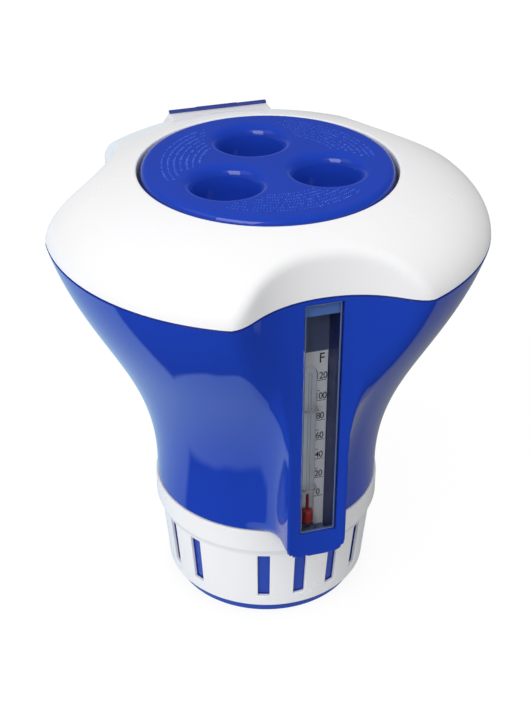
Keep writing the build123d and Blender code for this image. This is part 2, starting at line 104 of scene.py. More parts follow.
# ---------------------------------------------------------------- sizes and colours
class HullSizes(bpy.types.PropertyGroup):
    rim_radius: length("Rim radius", "Axis to the rim of a lobe", HULL_HIGH.y / MM)
    seam_height: length("Seam height", "Top of the hull's rim", HULL_HIGH.z / MM)
    base_height: length("Base height", "Underside of the hull", HULL_LOW.z / MM)
    neck_radius: length("Neck radius", "Straight neck over the sleeve", 53.9)
    flare_start: length("Flare start", "Height where the neck begins to flare", 64.2)
    flare_hold_low: length("Lower hold", "How long the flare stays upright low down", 56.5)
    flare_hold_high: length("Upper hold", "The same at the rim", 43.7)
    rim_lean: length("Rim lean", "How far the flare leans in over the upper hold", 11.95)
    skin: length("Wall", "Wall of hull and dome", 2.4)
    tube_hole: length("Tube hole", "Radius of the hole for the tablet tube", 44.4)
    scallop_reach: length("Scallop reach", "Axis to the bottom of a scallop", 74.8)
    scallop_half: length("Scallop half width", "To the corner of bottom and side wall", 17.6)
    scallop_angle: angle("Scallop angle", "Slope of its side walls", 35.5)
    scallop_root: length("Scallop rounding", "Large rounding of that corner", 52.0)
    crease_soft: length("Crease softness", "Blend between scallop walls and round body", 8.0)
    box_half: length("Box half width", "Half width of the thermometer box", 14.0)
    box_corner: length("Box corner", "Rounding of its lower corners", 7.0)
    box_edge: length("Box edge", "Blend along its front edges", 2.6)
    box_edge_fade: length("Box edge fade", "Over this width that blend grows to the crease's", 8.0)
    box_foot: length("Box foot", "Blend between its sides and the neck", 15.0)
    box_top: length("Box top", "Height up to which the box has its own edges", 150.0)
    window_half: length("Window half width", "Half width of the opening", 8.5)
    window_side: length("Window offset", "From the box's middle to the opening's", 0.8)
    window_low: length("Window foot", "Lower end of the opening", 69.7)
    window_margin: length("Window margin", "From the opening's top to the seam", 1.6)
    # the pale rim round the cover is a painted highlight on the cover's edges
    cover_rim: length("Cover rim", "Width of the pale rim round the cover", 0.42)
    ledge: length("Ledge", "Ledge that the cover sits on", 0.8)
    pocket_back: length("Pocket back", "Axis to the back wall of the pocket", 59.7)
    pocket_low: length("Pocket floor", "Height of the pocket's floor", 59.5)
    pocket_lip: length("Pocket lip", "Bar across the top of the pocket, behind the cover", 6.5)
    edge_round: length("Edge rounding", "Rounding of rim, window and underside", 1.0)
    seal_inset: length("Seal inset", "Seam seal inside the hull's rim", 0.7)
    seal_width: length("Seal width", "Width of the seam seal", 1.6)


class ShellSizes(bpy.types.PropertyGroup):
    rim_inset: length("Rim inset", "Shell's rim inside the hull's rim", 0.1)
    rim_lift: length("Rim lift", "Shell's rim above the seal's CAD height", 0.45)
    recess_radius: length("Well radius", "Round well that the lid sits in", 57.6)
    recess_height: length("Well rim height", "Height of the well's rim", SHELL_TOP / MM)
    well_floor: length("Well floor", "Height of the well's floor", SHELL_TOP / MM - 16.2)
    shoulder: length("Shoulder", "Dome curve, outwards from the well", 19.9)
    shoulder_drop: length("Shoulder drop", "Dome curve, down from the well's rim", 3.0)
    edge_in: length("Edge lean", "Dome curve, in from the shell's rim", 1.6)
    edge_rise: length("Edge rise", "Dome curve, up from the shell's rim", 13.2)
    soft: length("Scallop edge", "Rounding between dome and scallop walls", 4.5)
    well_edge: length("Well edge", "Rounding of the well's rim", 0.8)
    well_fillet: length("Well fillet", "Rounding round the well's floor", 1.2)
    neck_bore: length("Neck bore", "Inside of the threaded neck", 46.8)
    neck_wall: length("Neck wall", "Wall of the threaded neck", 2.4)
    neck_edge: length("Neck edge", "Rounding of the neck's top", 0.6)
    pad_half: length("Pad half width", "Raised pad at the rear, at its top", 24.3)
    pad_foot_half: length("Pad foot half width", "The same at its foot", 29.0)
    pad_front: length("Pad front", "Axis to the pad's front", 64.0)
    pad_back: length("Pad back", "Axis to the pad's rear edge", 82.0)
    pad_sink: length("Pad sink", "Pad's top below the well's rim", 4.6)
    pad_height: length("Pad height", "Height of its sloping ends", 6.6)
    pad_round: length("Pad rounding", "Rounding of the pad's edges", 0.8)
    notch_half: length("Notch half width", "Notch behind the pad", 11.2)
    notch_depth: length("Notch depth", "Down from the pad's top", 16.8)
    notch_back: length("Notch back", "Axis to the rear of the notch's floor", 94.0)
    ridge_lead: length("Thread lead", "Rise of the closure thread in a whole turn", 36.0)
    ridge_span: angle("Ridge span", "Angle that each ridge covers", 62.0)
    ridge_drop: length("Ridge drop", "Neck's top to a ridge's lower end", 8.8)
    ridge_depth: length("Ridge depth", "How far a ridge stands out", 2.0)
    ridge_height: length("Ridge height", "Height of a ridge", 2.2)


class LidSizes(bpy.types.PropertyGroup):
    radius: length("Lid radius", "Radius of the wide rim", LID_HIGH.x / MM)
    top: length("Lid top", "Height of the lid's flat top, under its grip marks", LID_HIGH.z / MM - 0.35)
    plate: length("Plate", "Thickness of the lid's plate", 2.6)
    edge_round: length("Edge rounding", "Rounding of the wide rim", 3.4)
    rim_height: length("Rim height", "Wide rim, down from the top", 9.5)
    skirt_step: length("Skirt step", "Skirt inside the wide rim", 1.2)
    skirt_low: length("Skirt end", "Height of the skirt's lower end", SHELL_TOP / MM - 15.2)
    bore: length("Skirt bore", "Inside of the skirt", 52.6)
    lug_gap: length("Lug gap", "Between a lug and the neck or a ridge", 0.3)
    lug_root: length("Lug root", "How deep a lug sits in the skirt", 0.2)
    lug_height: length("Lug height", "Height of a lug", 2.0)
    lug_span: angle("Lug span", "Angle that each lug covers", 16.0)
    cup_offset: length("Cup offset", "Lid axis to cup axis", 26.4)
    cup_mouth: length("Cup mouth", "Inside radius at the mouth", 14.2)
    cup_foot: length("Cup foot", "Inside radius at the bottom", 12.8)
    cup_depth: length("Cup depth", "Depth of a finger cup", 21.0)
    cup_bowl: length("Cup bowl", "Rounding at the bottom", 9.0)
    cup_wall: length("Cup wall", "Wall of a finger cup", 2.2)
    cup_lip: length("Cup lip", "Rounding at the mouth", 5.6)
    mark_height: length("Grip mark height", "How far the grip marks stand up", 0.4)
    mark_width: length("Grip mark width", "Width of a grip mark", 0.6)
    mark_length: length("Grip mark length", "Length of a grip mark", 1.8)
    mark_gap: length("Grip mark pitch", "Pitch of the grip marks along a row", 1.2)
    mark_rows: count("Grip mark rows", "Rows of grip marks in a field", 7)
    mark_span: angle("Grip mark span", "Angle that a field covers", 76.0)


class SleeveSizes(bpy.types.PropertyGroup):
    foot_radius: length("Foot radius", "Outside of the sleeve's foot", 49.42)
    shoulder_radius: length("Shoulder radius", "Outside of the sleeve's slotted wall, at its top", 52.5)
    shoulder: length("Shoulder height", "Top of the slotted wall", 41.0)
    band_radius: length("Band radius", "Outside of the upper band", SLEEVE_HIGH.x / MM)
    band_low: length("Band foot", "Lower end of the upper band", 44.5)
    wall: length("Wall", "Wall of the sleeve", 1.8)
    turn_gap: length("Turning gap", "Between sleeve and basket", 0.35)
    basket_wall: length("Basket wall", "Wall of the basket", 1.9)
    basket_foot: length("Basket foot", "Sleeve's foot to the foot of the basket's wall", 2.3)
    basket_plate: length("Basket plate", "Thickness of the basket's top", 2.4)
    slot_low: length("Slot foot", "Lower end of the slots", 12.3)
    slot_high: length("Slot top", "Upper end of the slots", 39.3)
    slot_width: length("Slot width", "Width of a slot", 6.0)
    vent_width: length("Vent width", "Width of the basket's vents", 6.4)
    slot_phase: angle("Slot phase", "From the thermometer to its nearest slot", 1.5)
    pitches: count("Slot places", "Slot places round the sleeve", 18, 3)
    blank_every: count("Blank every", "Every so many places is left blank", 6, 2)
    blank_at: count("Blank at", "Which of those places is blank", 4, 0)


class ScaleSizes(bpy.types.PropertyGroup):
    zero_height: length("Zero height", "Height of the scale's zero", 79.5)
    step: length("Step", "Rise between two numbers", 10.5)
    number_step: count("Number step", "Difference between two numbers", 20)
    numbers: count("Numbers", "How many numbers the scale has", 7, 2)
    number_rise: length("Number rise", "From a long mark to the foot of its number", 0.75)
    text_size: length("Text size", "Height of the numbers", 3.4)
    unit_size: length("Unit size", "Height of the unit's letter", 4.9)
    unit_height: length("Unit height", "Height of the unit's letter on the card", 151.6)
    number_place: length("Number place", "Card's middle to the middle of the numbers", 4.6)
    mark_half: length("Mark half width", "Half width of the long marks", 2.2)
    mark_thick: length("Mark thickness", "Thickness of a printed mark", 0.28)
    ink: length("Ink", "Thickness of the print", 0.05)


class Finishes(bpy.types.PropertyGroup):
    blue: colour("Blue", "Royal blue of hull, lid and basket", (0.011, 0.046, 0.40))
    # the hull's blue at 0.22: painted shade for the deep pocket behind the window
    tray: colour("Tray blue", "Pocket behind the window", (0.00242, 0.01012, 0.088))
    white: colour("White", "White of dome, well and sleeve", (0.80, 0.80, 0.81))
    slate: colour("Slate blue", "Backing of the card and gasket", (0.11, 0.14, 0.25))
    strip: colour("Strip blue", "Tie-off bracket and seam seal", (0.022, 0.042, 0.26))
    # pale rim round the cover: painted highlight for the light that its edges catch
    edge: colour("Edge", "Pale rim round the clear cover", (0.11, 0.17, 0.38))
    # lighter than the hull's blue: painted light for the pale band across the window's top
    lip: colour("Lip blue", "Bar across the top of the thermometer's pocket", (0.085, 0.18, 0.50))
    # lighter than the lid's blue: painted highlight on the grip marks' raised edges
    mark: colour("Mark blue", "Worn tops of the grip marks", (0.030, 0.100, 0.58))
    rubber: colour("Rubber", "Seals", (0.006, 0.009, 0.035))
    natural: colour("Natural", "Uncoloured plastic of tube and grate", (0.66, 0.68, 0.70))
    card: colour("Card", "Thermometer card", (0.95, 0.96, 1.0))
    ink: colour("Ink", "Print on the card", (0.02, 0.02, 0.03))
    spirit: colour("Spirit", "Red spirit in the thermometer", (0.46, 0.045, 0.04))
    metal: colour("Metal", "Thin straps round the glass", (0.86, 0.87, 0.90))
    ballast: colour("Ballast", "Coating of the ballast ring", (0.05, 0.055, 0.06))
    clear: colour("Clear", "Clear cover and glass", (0.97, 0.985, 1.0))
    dust: colour("Dust", "Specks on the white", (0.35, 0.33, 0.30))
    floor: colour("Floor", "Studio floor", (0.86, 0.86, 0.86))


GROUPS = {"hull": HullSizes, "shell": ShellSizes, "lid": LidSizes, "sleeve": SleeveSizes,
          "scale": ScaleSizes, "finish": Finishes}


def settings(context, *groups):
    """The named groups of sizes; one alone comes by itself."""
    found = [getattr(context.scene, "dispenser_" + group) for group in groups]
    return found if len(found) > 1 else found[0]


MADE = {}


def once(maker):
    """What a maker returns, made the first time only."""
    if maker not in MADE:
        MADE[maker] = maker()
    return MADE[maker]


# ---------------------------------------------------------------- node trees
class Value:
    """An output socket that can be reckoned with."""

    def __init__(self, graph, socket):
        self.graph, self.socket = graph, socket

    def __add__(self, other):
        return self.graph.maths("ADD", self, other)

    def __sub__(self, other):
        return self.graph.maths("SUBTRACT", self, other)

    def __mul__(self, other):
        return self.graph.maths("MULTIPLY", self, other)

    def __truediv__(self, other):
        return self.graph.maths("DIVIDE", self, other)

    def __mod__(self, other):
        return self.graph.maths("FLOORED_MODULO", self, other)

    def __lt__(self, other):
        return self.graph.maths("LESS_THAN", self, other)

    def __gt__(self, other):
        return self.graph.maths("GREATER_THAN", self, other)

    def __abs__(self):
        return self.graph.maths("ABSOLUTE", self)

    def remap(self, low, high, to_low, to_high):
        return self.graph.add("ShaderNodeMapRange", {0: self, 1: low, 2: high, 3: to_low, 4: to_high})


class Graph:
    """A node tree that grows node by node; inputs are values, numbers, vectors or colours."""

    def __init__(self, tree):
        self.tree = tree

    def fill(self, socket, value):
        if isinstance(value, Value):
            self.tree.links.new(value.socket, socket)
        else:
            socket.default_value = value

    def node(self, kind, inputs=None, **options):
        made = self.tree.nodes.new(kind)
        for key, value in options.items():
            setattr(made, key, value)
        for key, value in (inputs or {}).items():
            self.fill(made.inputs[key], value)
        return made

    def add(self, kind, inputs=None, output=0, **options):
        """One output of a new node."""
        return Value(self, self.node(kind, inputs, **options).outputs[output])

    def outputs(self, kind, inputs=None, **options):
        """All outputs of a new node, by name."""
        return {socket.name: Value(self, socket) for socket in self.node(kind, inputs, **options).outputs}

    def maths(self, operation, *values):
        return self.add("ShaderNodeMath", dict(enumerate(values)), operation=operation)

    def mix(self, share, first, second):
        """Mix of two colours by a share."""
        return self.add("ShaderNodeMix", {0: share, 6: first, 7: second}, 2, data_type="RGBA")

    def noise(self, vector, scale, detail, **others):
        return self.add("ShaderNodeTexNoise", {"Vector": vector, "Scale": scale, "Detail": detail, **others}, "Fac")

    def split(self, vector):
        return list(self.outputs("ShaderNodeSeparateXYZ", {0: vector}).values())

    def point(self, x=0.0, y=0.0, z=0.0):
        return self.add("ShaderNodeCombineXYZ", {0: x, 1: y, 2: z})

    def round_point(self, turn, radius, height):
        """A point at an angle round the upright axis."""
        return self.point(self.maths("COSINE", turn) * radius, self.maths("SINE", turn) * radius, height)

    def chance(self, seed, low=0.0, high=1.0):
        return self.add("FunctionNodeRandomValue", {2: low, 3: high, "Seed": seed}, 1)


class Group(Graph):
    """A node group in the making: its inputs are values, by name."""
    kinds = {"Vector": "NodeSocketVector", "Geometry": "NodeSocketGeometry", "Material": "NodeSocketMaterial"}

    def __init__(self, name, kind, inputs, outputs):
        super().__init__(bpy.data.node_groups.new(name, kind))
        for label, default in inputs.items():
            number = "NodeSocketInt" if isinstance(default, int) else "NodeSocketFloat"
            socket = self.tree.interface.new_socket(name=label, in_out="INPUT",
                                                    socket_type=self.kinds.get(label, number))
            if default is not None:
                socket.default_value = default
        for label in outputs:
            self.tree.interface.new_socket(name=label, in_out="OUTPUT",
                                           socket_type=self.kinds.get(label, "NodeSocketFloat"))
        self.inside = self.outputs("NodeGroupInput")
        self.out = self.node("NodeGroupOutput").inputs

    def close(self, results):
        for label, value in results.items():
            self.fill(self.out[label], value)
        return self.tree


class Growth(Group):
    """A Geometry Nodes group: from a start geometry, if any, to a real one with its material."""

    def __init__(self, name, inputs):
        super().__init__(name, "GeometryNodeTree", {"Geometry": None, **inputs, "Material": None}, ["Geometry"])

    def index(self):
        return self.add("GeometryNodeInputIndex")

    def laid(self, geometry, position):
        return self.add("GeometryNodeSetPosition", {"Geometry": geometry, "Position": position})

    def placed(self, points, instance, others):
        return self.add("GeometryNodeInstanceOnPoints", {"Points": points, "Instance": instance, **others})

    def close(self, geometry):
        real = self.add("GeometryNodeRealizeInstances", {"Geometry": geometry})
        painted = self.add("GeometryNodeSetMaterial", {"Geometry": real, "Material": self.inside["Material"]})
        return super().close({"Geometry": painted})


class Look(Graph):
    """A material in the making, with its surface and its object coordinates."""

    def __init__(self, name):
        self.material = bpy.data.materials.new(name)
        self.material.use_nodes = True
        super().__init__(self.material.node_tree)
        self.surface = self.tree.nodes["Principled BSDF"]
        self.place = self.add("ShaderNodeTexCoord", output="Object")

    def effect(self, maker, values=None):
        """An instance of a shared effect; returns its outputs by name."""
        return self.outputs("ShaderNodeGroup", {"Vector": self.place, **(values or {})}, node_tree=once(maker))

    def dress(self, hue, rough, height=None, depth=0.0, others=None):
        """Fills in the surface; a height with its depth in millimetres bends the normals."""
        values = {"Base Color": hue, "Roughness": rough, **(others or {})}
        if height is not None:
            values["Normal"] = self.add("ShaderNodeBump", {"Height": height, "Distance": depth * MM})
        for label, value in values.items():
            self.fill(self.surface.inputs[label], value)
        return self.material


def rgba(value, gain=1.0):
    return tuple(min(1.0, v * gain) for v in value) + (1.0,)


# ---------------------------------------------------------------- shared effects
def moulded_skin():
    """Height of a moulded skin: slow sink-mark ripples with a faint fine grain on top."""
    group = Group("Moulded skin", "ShaderNodeTree", {"Vector": None, "Ripple size": 28.0, "Grain": 0.02}, ["Height"])
    vector = group.inside["Vector"]
    ripple = group.noise(vector, group.inside["Ripple size"], 1.0, Roughness=0.4)
    grain = group.noise(vector, 900.0, 2.0)
    return group.close({"Height": ripple + grain * group.inside["Grain"]})


def handling():
    """Masks of handling: soft smears, and fine short scratches."""
    group = Group("Handling", "ShaderNodeTree", {"Vector": None, "Smear size": 22.0}, ["Smears", "Scratches"])
    vector = group.inside["Vector"]
    smear = group.noise(vector, group.inside["Smear size"], 4.0, Roughness=0.6, Distortion=0.7)
    lines = []
    for turn in (0.5, 2.1):
        drawn = group.add("ShaderNodeMapping", {"Vector": vector, "Rotation": (turn, 0.3, turn),
                                                "Scale": (1.0, 14.0, 3.0)})
        cells = group.add("ShaderNodeTexVoronoi", {"Vector": drawn, "Scale": 55.0}, "Distance",
                          feature="DISTANCE_TO_EDGE")
        lines.append(cells.remap(0.0, 0.012, 1.0, 0.0))
    patches = group.noise(vector, 60.0, 2.0).remap(0.58, 0.66, 0.0, 1.0)
    return group.close({"Smears": smear.remap(0.45, 0.75, 0.0, 1.0),
                        "Scratches": group.maths("MAXIMUM", *lines) * patches * 0.4})


def dust_specks():
    """Mask of small dust specks."""
    group = Group("Dust specks", "ShaderNodeTree", {"Vector": None}, ["Specks"])
    cells = group.outputs("ShaderNodeTexVoronoi", {"Vector": group.inside["Vector"], "Scale": 260.0})
    some = group.add("ShaderNodeSeparateColor", {0: cells["Color"]}) > 0.86
    return group.close({"Specks": (cells["Distance"] < 0.06) * some})


# ---------------------------------------------------------------- materials
def moulded_plastic(name, base, rough, ripple=0.16, shade=0.9, smear=0.05, dust=None):
    """Glossy moulded plastic with slow ripples, smears, hairline scratches and a little dust."""
    look = Look(name)
    skin = look.effect(moulded_skin, {"Ripple size": 26.0, "Grain": 0.015})
    hands = look.effect(handling)
    tint = look.mix(look.noise(look.place, 9.0, 3.0), rgba(base, shade), rgba(base, 2 - shade))
    worn = look.mix(hands["Scratches"] * 0.22, tint, rgba(base, 1.6))
    if dust is not None:
        worn = look.mix(look.effect(dust_specks)["Specks"] * 0.25, worn, rgba(dust))
    roughness = hands["Scratches"] * 0.18 + hands["Smears"].remap(0.0, 1.0, rough, rough + smear)
    return look.dress(worn, roughness, skin["Height"], ripple, {"IOR": 1.49})


def rubber(name, base):
    """Dull rubber with a fine grain and a pale bloom."""
    look = Look(name)
    grain = look.noise(look.place, 1400.0, 3.0)
    bloomed = look.mix(look.noise(look.place, 60.0, 3.0), rgba(base), rgba(base, 2.2))
    return look.dress(bloomed, grain.remap(0.3, 0.7, 0.5, 0.72), grain, 0.05)


def natural_plastic(name, base):
    """Uncoloured plastic: satin, a little cloudy, with faint flow lines."""
    look = Look(name)
    flow = look.add("ShaderNodeTexWave", {"Vector": look.place, "Scale": 30.0, "Distortion": 6.0, "Detail": 2.0},
                    "Fac", bands_direction="Z")
    cloudy = look.mix(look.noise(look.place, 40.0, 3.0), rgba(base, 0.9), rgba(base, 1.05))
    return look.dress(cloudy, flow.remap(0.0, 1.0, 0.34, 0.42), flow, 0.03)


def printed_card(name, base):
    """Pale card: fine fibre, faint yellowing in patches and a satin varnish."""
    look = Look(name)
    fibre = look.noise(look.place, 1500.0, 4.0)
    age = look.noise(look.place, 45.0, 3.0).remap(0.4, 0.8, 0.0, 0.5)
    aged = look.mix(age, rgba(base), (base[0] * 0.98, base[1] * 0.92, base[2] * 0.82, 1.0))
    return look.dress(look.mix(fibre.remap(0.3, 0.7, 0.0, 0.12), aged, rgba(base, 0.7)), 0.42, fibre, 0.02)


def print_ink(name, base):
    """Dark print with small worn spots."""
    look = Look(name)
    wear = look.noise(look.place, 2200.0, 3.0).remap(0.5, 0.75, 0.0, 0.5)
    return look.dress(look.mix(wear, rgba(base), (0.2, 0.21, 0.24, 1.0)), 0.5)


def clear_sheet(name, base, rough, ior):
    """Clear moulded sheet or glass, with faint haze where it has been handled."""
    look = Look(name)
    hazy = look.effect(handling, {"Smear size": 90.0})["Smears"].remap(0.0, 1.0, rough, rough + 0.05)
    skin = look.effect(moulded_skin, {"Ripple size": 60.0, "Grain": 0.0})
    return look.dress(rgba(base), hazy, skin["Height"], 0.06, {"Transmission Weight": 1.0, "IOR": ior})


def strap_metal(name, base):
    """Bright strip, brushed along its length."""
    look = Look(name)
    drawn = look.add("ShaderNodeMapping", {"Vector": look.place, "Scale": (40.0, 40.0, 3000.0)})
    brush = look.noise(drawn, 1.0, 3.0)
    return look.dress(look.mix(brush, rgba(base, 0.8), rgba(base, 1.15)), brush.remap(0.3, 0.7, 0.5, 0.65),
                      others={"Metallic": 1.0})


def coated_iron(name, base):
    """Cast weight under a thick dipped coating: orange peel and a few thin spots."""
    look = Look(name)
    peel = look.noise(look.place, 420.0, 2.0)
    thin = look.noise(look.place, 70.0, 5.0).remap(0.66, 0.7, 0.0, 0.8)
    return look.dress(look.mix(thin, rgba(base), (0.10, 0.045, 0.02, 1.0)), peel.remap(0.3, 0.7, 0.3, 0.5), peel, 0.1)


def finish(context, name):
    """The named material, built the first time that a piece asks for it."""
    hues = settings(context, "finish")
    makers = {
        "blue": lambda: moulded_plastic("blue_gloss", hues.blue, 0.02, smear=0.03),
        "white": lambda: moulded_plastic("white_gloss", hues.white, 0.24, shade=0.985, dust=hues.dust),
        "slate": lambda: moulded_plastic("slate_satin", hues.slate, 0.3),
        # lip: painted light, a pale bar standing in for the lit band at the window's top
        "lip": lambda: moulded_plastic("frosted_blue", hues.lip, 0.4),
        "strip": lambda: moulded_plastic("strip_blue", hues.strip, 0.25),
        # edge: painted highlight on the rim of the clear cover
        "edge": lambda: moulded_plastic("frosted_edge", hues.edge, 0.35),
        # tray: painted shade, the hull's blue darkened for the pocket's recess
        "tray": lambda: moulded_plastic("dark_blue_satin", hues.tray, 0.4),
        # mark: painted highlight, a lighter blue for the raised grip marks
        "mark": lambda: moulded_plastic("worn_blue", hues.mark, 0.22),
        "spirit": lambda: moulded_plastic("red_spirit", hues.spirit, 0.2, ripple=0.02),
        "rubber": lambda: rubber("seal_rubber", hues.rubber),
        "natural": lambda: natural_plastic("natural_plastic", hues.natural),
        "card": lambda: printed_card("scale_card", hues.card),
        "ink": lambda: print_ink("print_ink", hues.ink),
        "cover": lambda: clear_sheet("clear_cover", hues.clear, 0.02, 1.38),
        "glass": lambda: clear_sheet("thermometer_glass", hues.clear, 0.0, 1.13),
        "metal": lambda: strap_metal("strap_metal", hues.metal),
        "ballast": lambda: coated_iron("coated_iron", hues.ballast),
    }
    if name not in MADE:
        MADE[name] = makers[name]()
    return MADE[name]


# ---------------------------------------------------------------- mesh helpers
def linked(name, data, material=None):
    """A new object in the scene, with its one material."""
    if material is not None:
        data.materials.clear()
        data.materials.append(material)
    piece = bpy.data.objects.new(name, data)
    bpy.context.scene.collection.objects.link(piece)
    return piece


def piece_from(name, vertices, faces, material):
    """A new mesh object whose faces all point outwards."""
    mesh = bpy.data.meshes.new(name)
    mesh.from_pydata([tuple(v) for v in vertices], [], faces)
    mesh.validate()
    work = bmesh.new()
    work.from_mesh(mesh)
    bmesh.ops.recalc_face_normals(work, faces=work.faces)
    work.to_mesh(mesh)
    work.free()
    return linked(name, mesh, material)


def bake(piece):
    """Applies every modifier and leaves a plain mesh."""
    bpy.context.view_layer.update()
    graph = bpy.context.evaluated_depsgraph_get()
    plain = bpy.data.meshes.new_from_object(piece.evaluated_get(graph), preserve_all_data_layers=True,
                                            depsgraph=graph)
    piece.modifiers.clear()
    old = piece.data
    piece.data = plain
    plain.name = piece.name
    bpy.data.meshes.remove(old)
    return piece


def smooth(piece, sharp=40.0):
    mesh = piece.data
    mesh.polygons.foreach_set("use_smooth", np.ones(len(mesh.polygons), bool))
    mesh.set_sharp_from_angle(angle=radians(sharp))


def soften(piece, width, limit=45.0, segments=3, sharp=60.0):
    """Rounds the crisp edges of a piece, and evens its shading."""
    smooth(piece, sharp)
    round_over = piece.modifiers.new("Edges", "BEVEL")
    round_over.width = width
    round_over.segments = segments
    round_over.limit_method = "ANGLE"
    round_over.angle_limit = radians(limit)
    round_over.use_clamp_overlap = True
    round_over.miter_outer = "MITER_ARC"
    return evened(piece, 70)


def evened(piece, weight):
    """Evens the shading of a piece by its larger faces, and leaves a plain mesh."""
    even = piece.modifiers.new("Shading", "WEIGHTED_NORMAL")
    even.keep_sharp = True
    even.weight = weight
    return bake(piece)


def joined(piece, other, operation):
    """Boolean of two closed pieces; the second one goes."""
    cut = piece.modifiers.new("Cut", "BOOLEAN")
    cut.operation = operation
    cut.object = other
    cut.solver = "EXACT"
    bake(piece)
    mesh = other.data
    bpy.data.objects.remove(other)
    bpy.data.meshes.remove(mesh)


def place_piece(piece, body, slot, *replaced):
    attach(piece, body)
    if replaced:
        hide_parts(*replaced)


def copy_of(node, name, material):
    """A merged copy of a CAD node's mesh, with its flat faces made whole."""
    work = bmesh.new()
    work.from_mesh(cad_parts[node].data)
    bmesh.ops.remove_doubles(work, verts=work.verts, dist=0.002 * MM)
    bmesh.ops.dissolve_limit(work, angle_limit=radians(0.5), verts=work.verts, edges=work.edges)
    mesh = bpy.data.meshes.new(name)
    work.to_mesh(mesh)
    work.free()
    return linked(name, mesh, material)


def softened(context, node, name, look, width, slot, segments=3):
    """A CAD node's piece with softened edges, in its place."""
    piece = soften(copy_of(node, name, finish(context, look)), width, segments=segments)
    place_piece(piece, "float", slot, node)
    return piece


def closed_rings(rings, joined_up=True):
    """Vertices and faces of rings of points, each joined to the next, and the last to the first."""
    count, columns = len(rings), len(rings[0])
    vertices = np.concatenate(rings)
    faces = {}
    for i in range(count if joined_up else count - 1):
        below, above = i * columns, (i + 1) % count * columns
        for j in range(columns):
            k = (j + 1) % columns
            faces[i, j] = (below + j, below + k, above + k, above + j)
    return vertices, faces


def turned_rings(profile, columns, centre=(0.0, 0.0)):
    """Rings of points turned about an upright axis from (radius, height) pairs."""
    turn = np.linspace(0, 2 * pi, columns, endpoint=False)
    return [np.stack([centre[0] + r * np.cos(turn), centre[1] + r * np.sin(turn), np.full(columns, z)], 1)
            for r, z in profile]


def arc(centre, radius, start, end, count):
    """(radius, height) points along an arc, from one angle to another in degrees."""
    return [(centre[0] + radius * cos(radians(a)), centre[1] + radius * sin(radians(a)))
            for a in np.linspace(start, end, count)]


def spaced(stops, step):
    """Values from stop to stop, no more than a step apart."""
    values = [stops[0]]
    for low, high in zip(stops, stops[1:]):
        count = max(1, round(abs(high - low) / step))
        values += list(np.linspace(low, high, count + 1)[1:])
    return values


def bezier(points, count):
    t = np.linspace(0, 1, count)[:, None]
    a, b, c, d = (np.array(p) for p in points)
    return a * (1 - t) ** 3 + 3 * b * t * (1 - t) ** 2 + 3 * c * t ** 2 * (1 - t) + d * t ** 3


def block(name, x, y, z, material):
    """Closed box between (low, high) pairs."""
    corners = [(i, j, k) for k in z for j in y for i in x]
    sides = [(0, 2, 3, 1), (4, 5, 7, 6), (0, 1, 5, 4), (2, 6, 7, 3), (0, 4, 6, 2), (1, 3, 7, 5)]
    return piece_from(name, corners, sides, material)


# ---------------------------------------------------------------- lobed form
def smooth_min(a, b, reach):
    """The smaller of two values, blended where they are within reach of each other."""
    blend = np.maximum(reach - np.abs(a - b), 0) / reach
    return np.minimum(a, b) - blend * blend * reach / 4


def lobe_columns(hull):
    """Angles of the mesh columns, closest together where the scallops and the box turn.

    Those of the front are moved aside, so that two of them run along the window's sides.
    """
    window = atan(hull.window_half / hull.scallop_reach)
    stops = [(0, window, 2), (window, radians(9.6), 3), (radians(9.6), radians(17), 15),
             (radians(17), radians(33), 13), (radians(33), THIRD / 2, 9)]
    half = [0.0]
    for low, high, count in stops:
        half += list(np.linspace(low, high, count + 1)[1:])
    around = [-a for a in half[:0:-1]] + half[:-1]
    turn = np.array([FRONT + THIRD * i + a for i in range(3) for a in around])
    aside = hull.scallop_reach * np.tan(np.clip(turn - FRONT, -1.0, 1.0))
    share = np.clip(2 - np.abs(aside) / hull.window_half, 0, 1)
    return turn + share * hull.window_side / hull.scallop_reach * np.cos(turn - FRONT) ** 2


def from_scallop(turn):
    """Angle from the middle of the nearest scallop."""
    return (turn - FRONT + THIRD / 2) % THIRD - THIRD / 2


def scallop_depth(hull, aside):
    """Axis to the scallop's wall, this far aside: flat, then round, then straight."""
    root, slope = hull.scallop_root, hull.scallop_angle
    flat = hull.scallop_half - root * tan(slope / 2)
    bend = np.clip(aside - flat, 0, root * sin(slope))
    beyond = np.maximum(aside - flat - root * sin(slope), 0)
    return hull.scallop_reach + root - np.sqrt(root ** 2 - bend ** 2) + beyond * tan(slope)


def halved(turn, low, high, rounds, is_beyond):
    """Reach along each ray up to where it is beyond a wall, by halving between low and high."""
    low, high = np.full_like(turn, low), np.full_like(turn, high)
    for _ in range(rounds):
        middle = (low + high) / 2
        beyond = is_beyond(middle)
        high = np.where(beyond, middle, high)
        low = np.where(beyond, low, middle)
    return low


def scallop_radius(hull, turn):
    """Axis to the scallop's wall along a ray."""
    off = np.abs(from_scallop(turn))
    return halved(turn, 0.05, 0.2, 30, lambda r: r * np.cos(off) > scallop_depth(hull, r * np.sin(off)))


def flare_radius(hull, height):
    """Radius of the round body at a height."""
    curve = bezier([(hull.neck_radius, hull.flare_start),
                    (hull.neck_radius, hull.flare_start + hull.flare_hold_low),
                    (hull.rim_radius - hull.rim_lean, hull.seam_height - hull.flare_hold_high),
                    (hull.rim_radius, hull.seam_height)], 200)
    return np.interp(height, curve[:, 1], curve[:, 0])


def box_half_width(hull, height):
    """Half width of the thermometer box, less at its rounded lower corners."""
    up = np.clip(height - hull.base_height, 0, hull.box_corner)
    return hull.box_half - hull.box_corner + np.sqrt(hull.box_corner ** 2 - (hull.box_corner - up) ** 2)


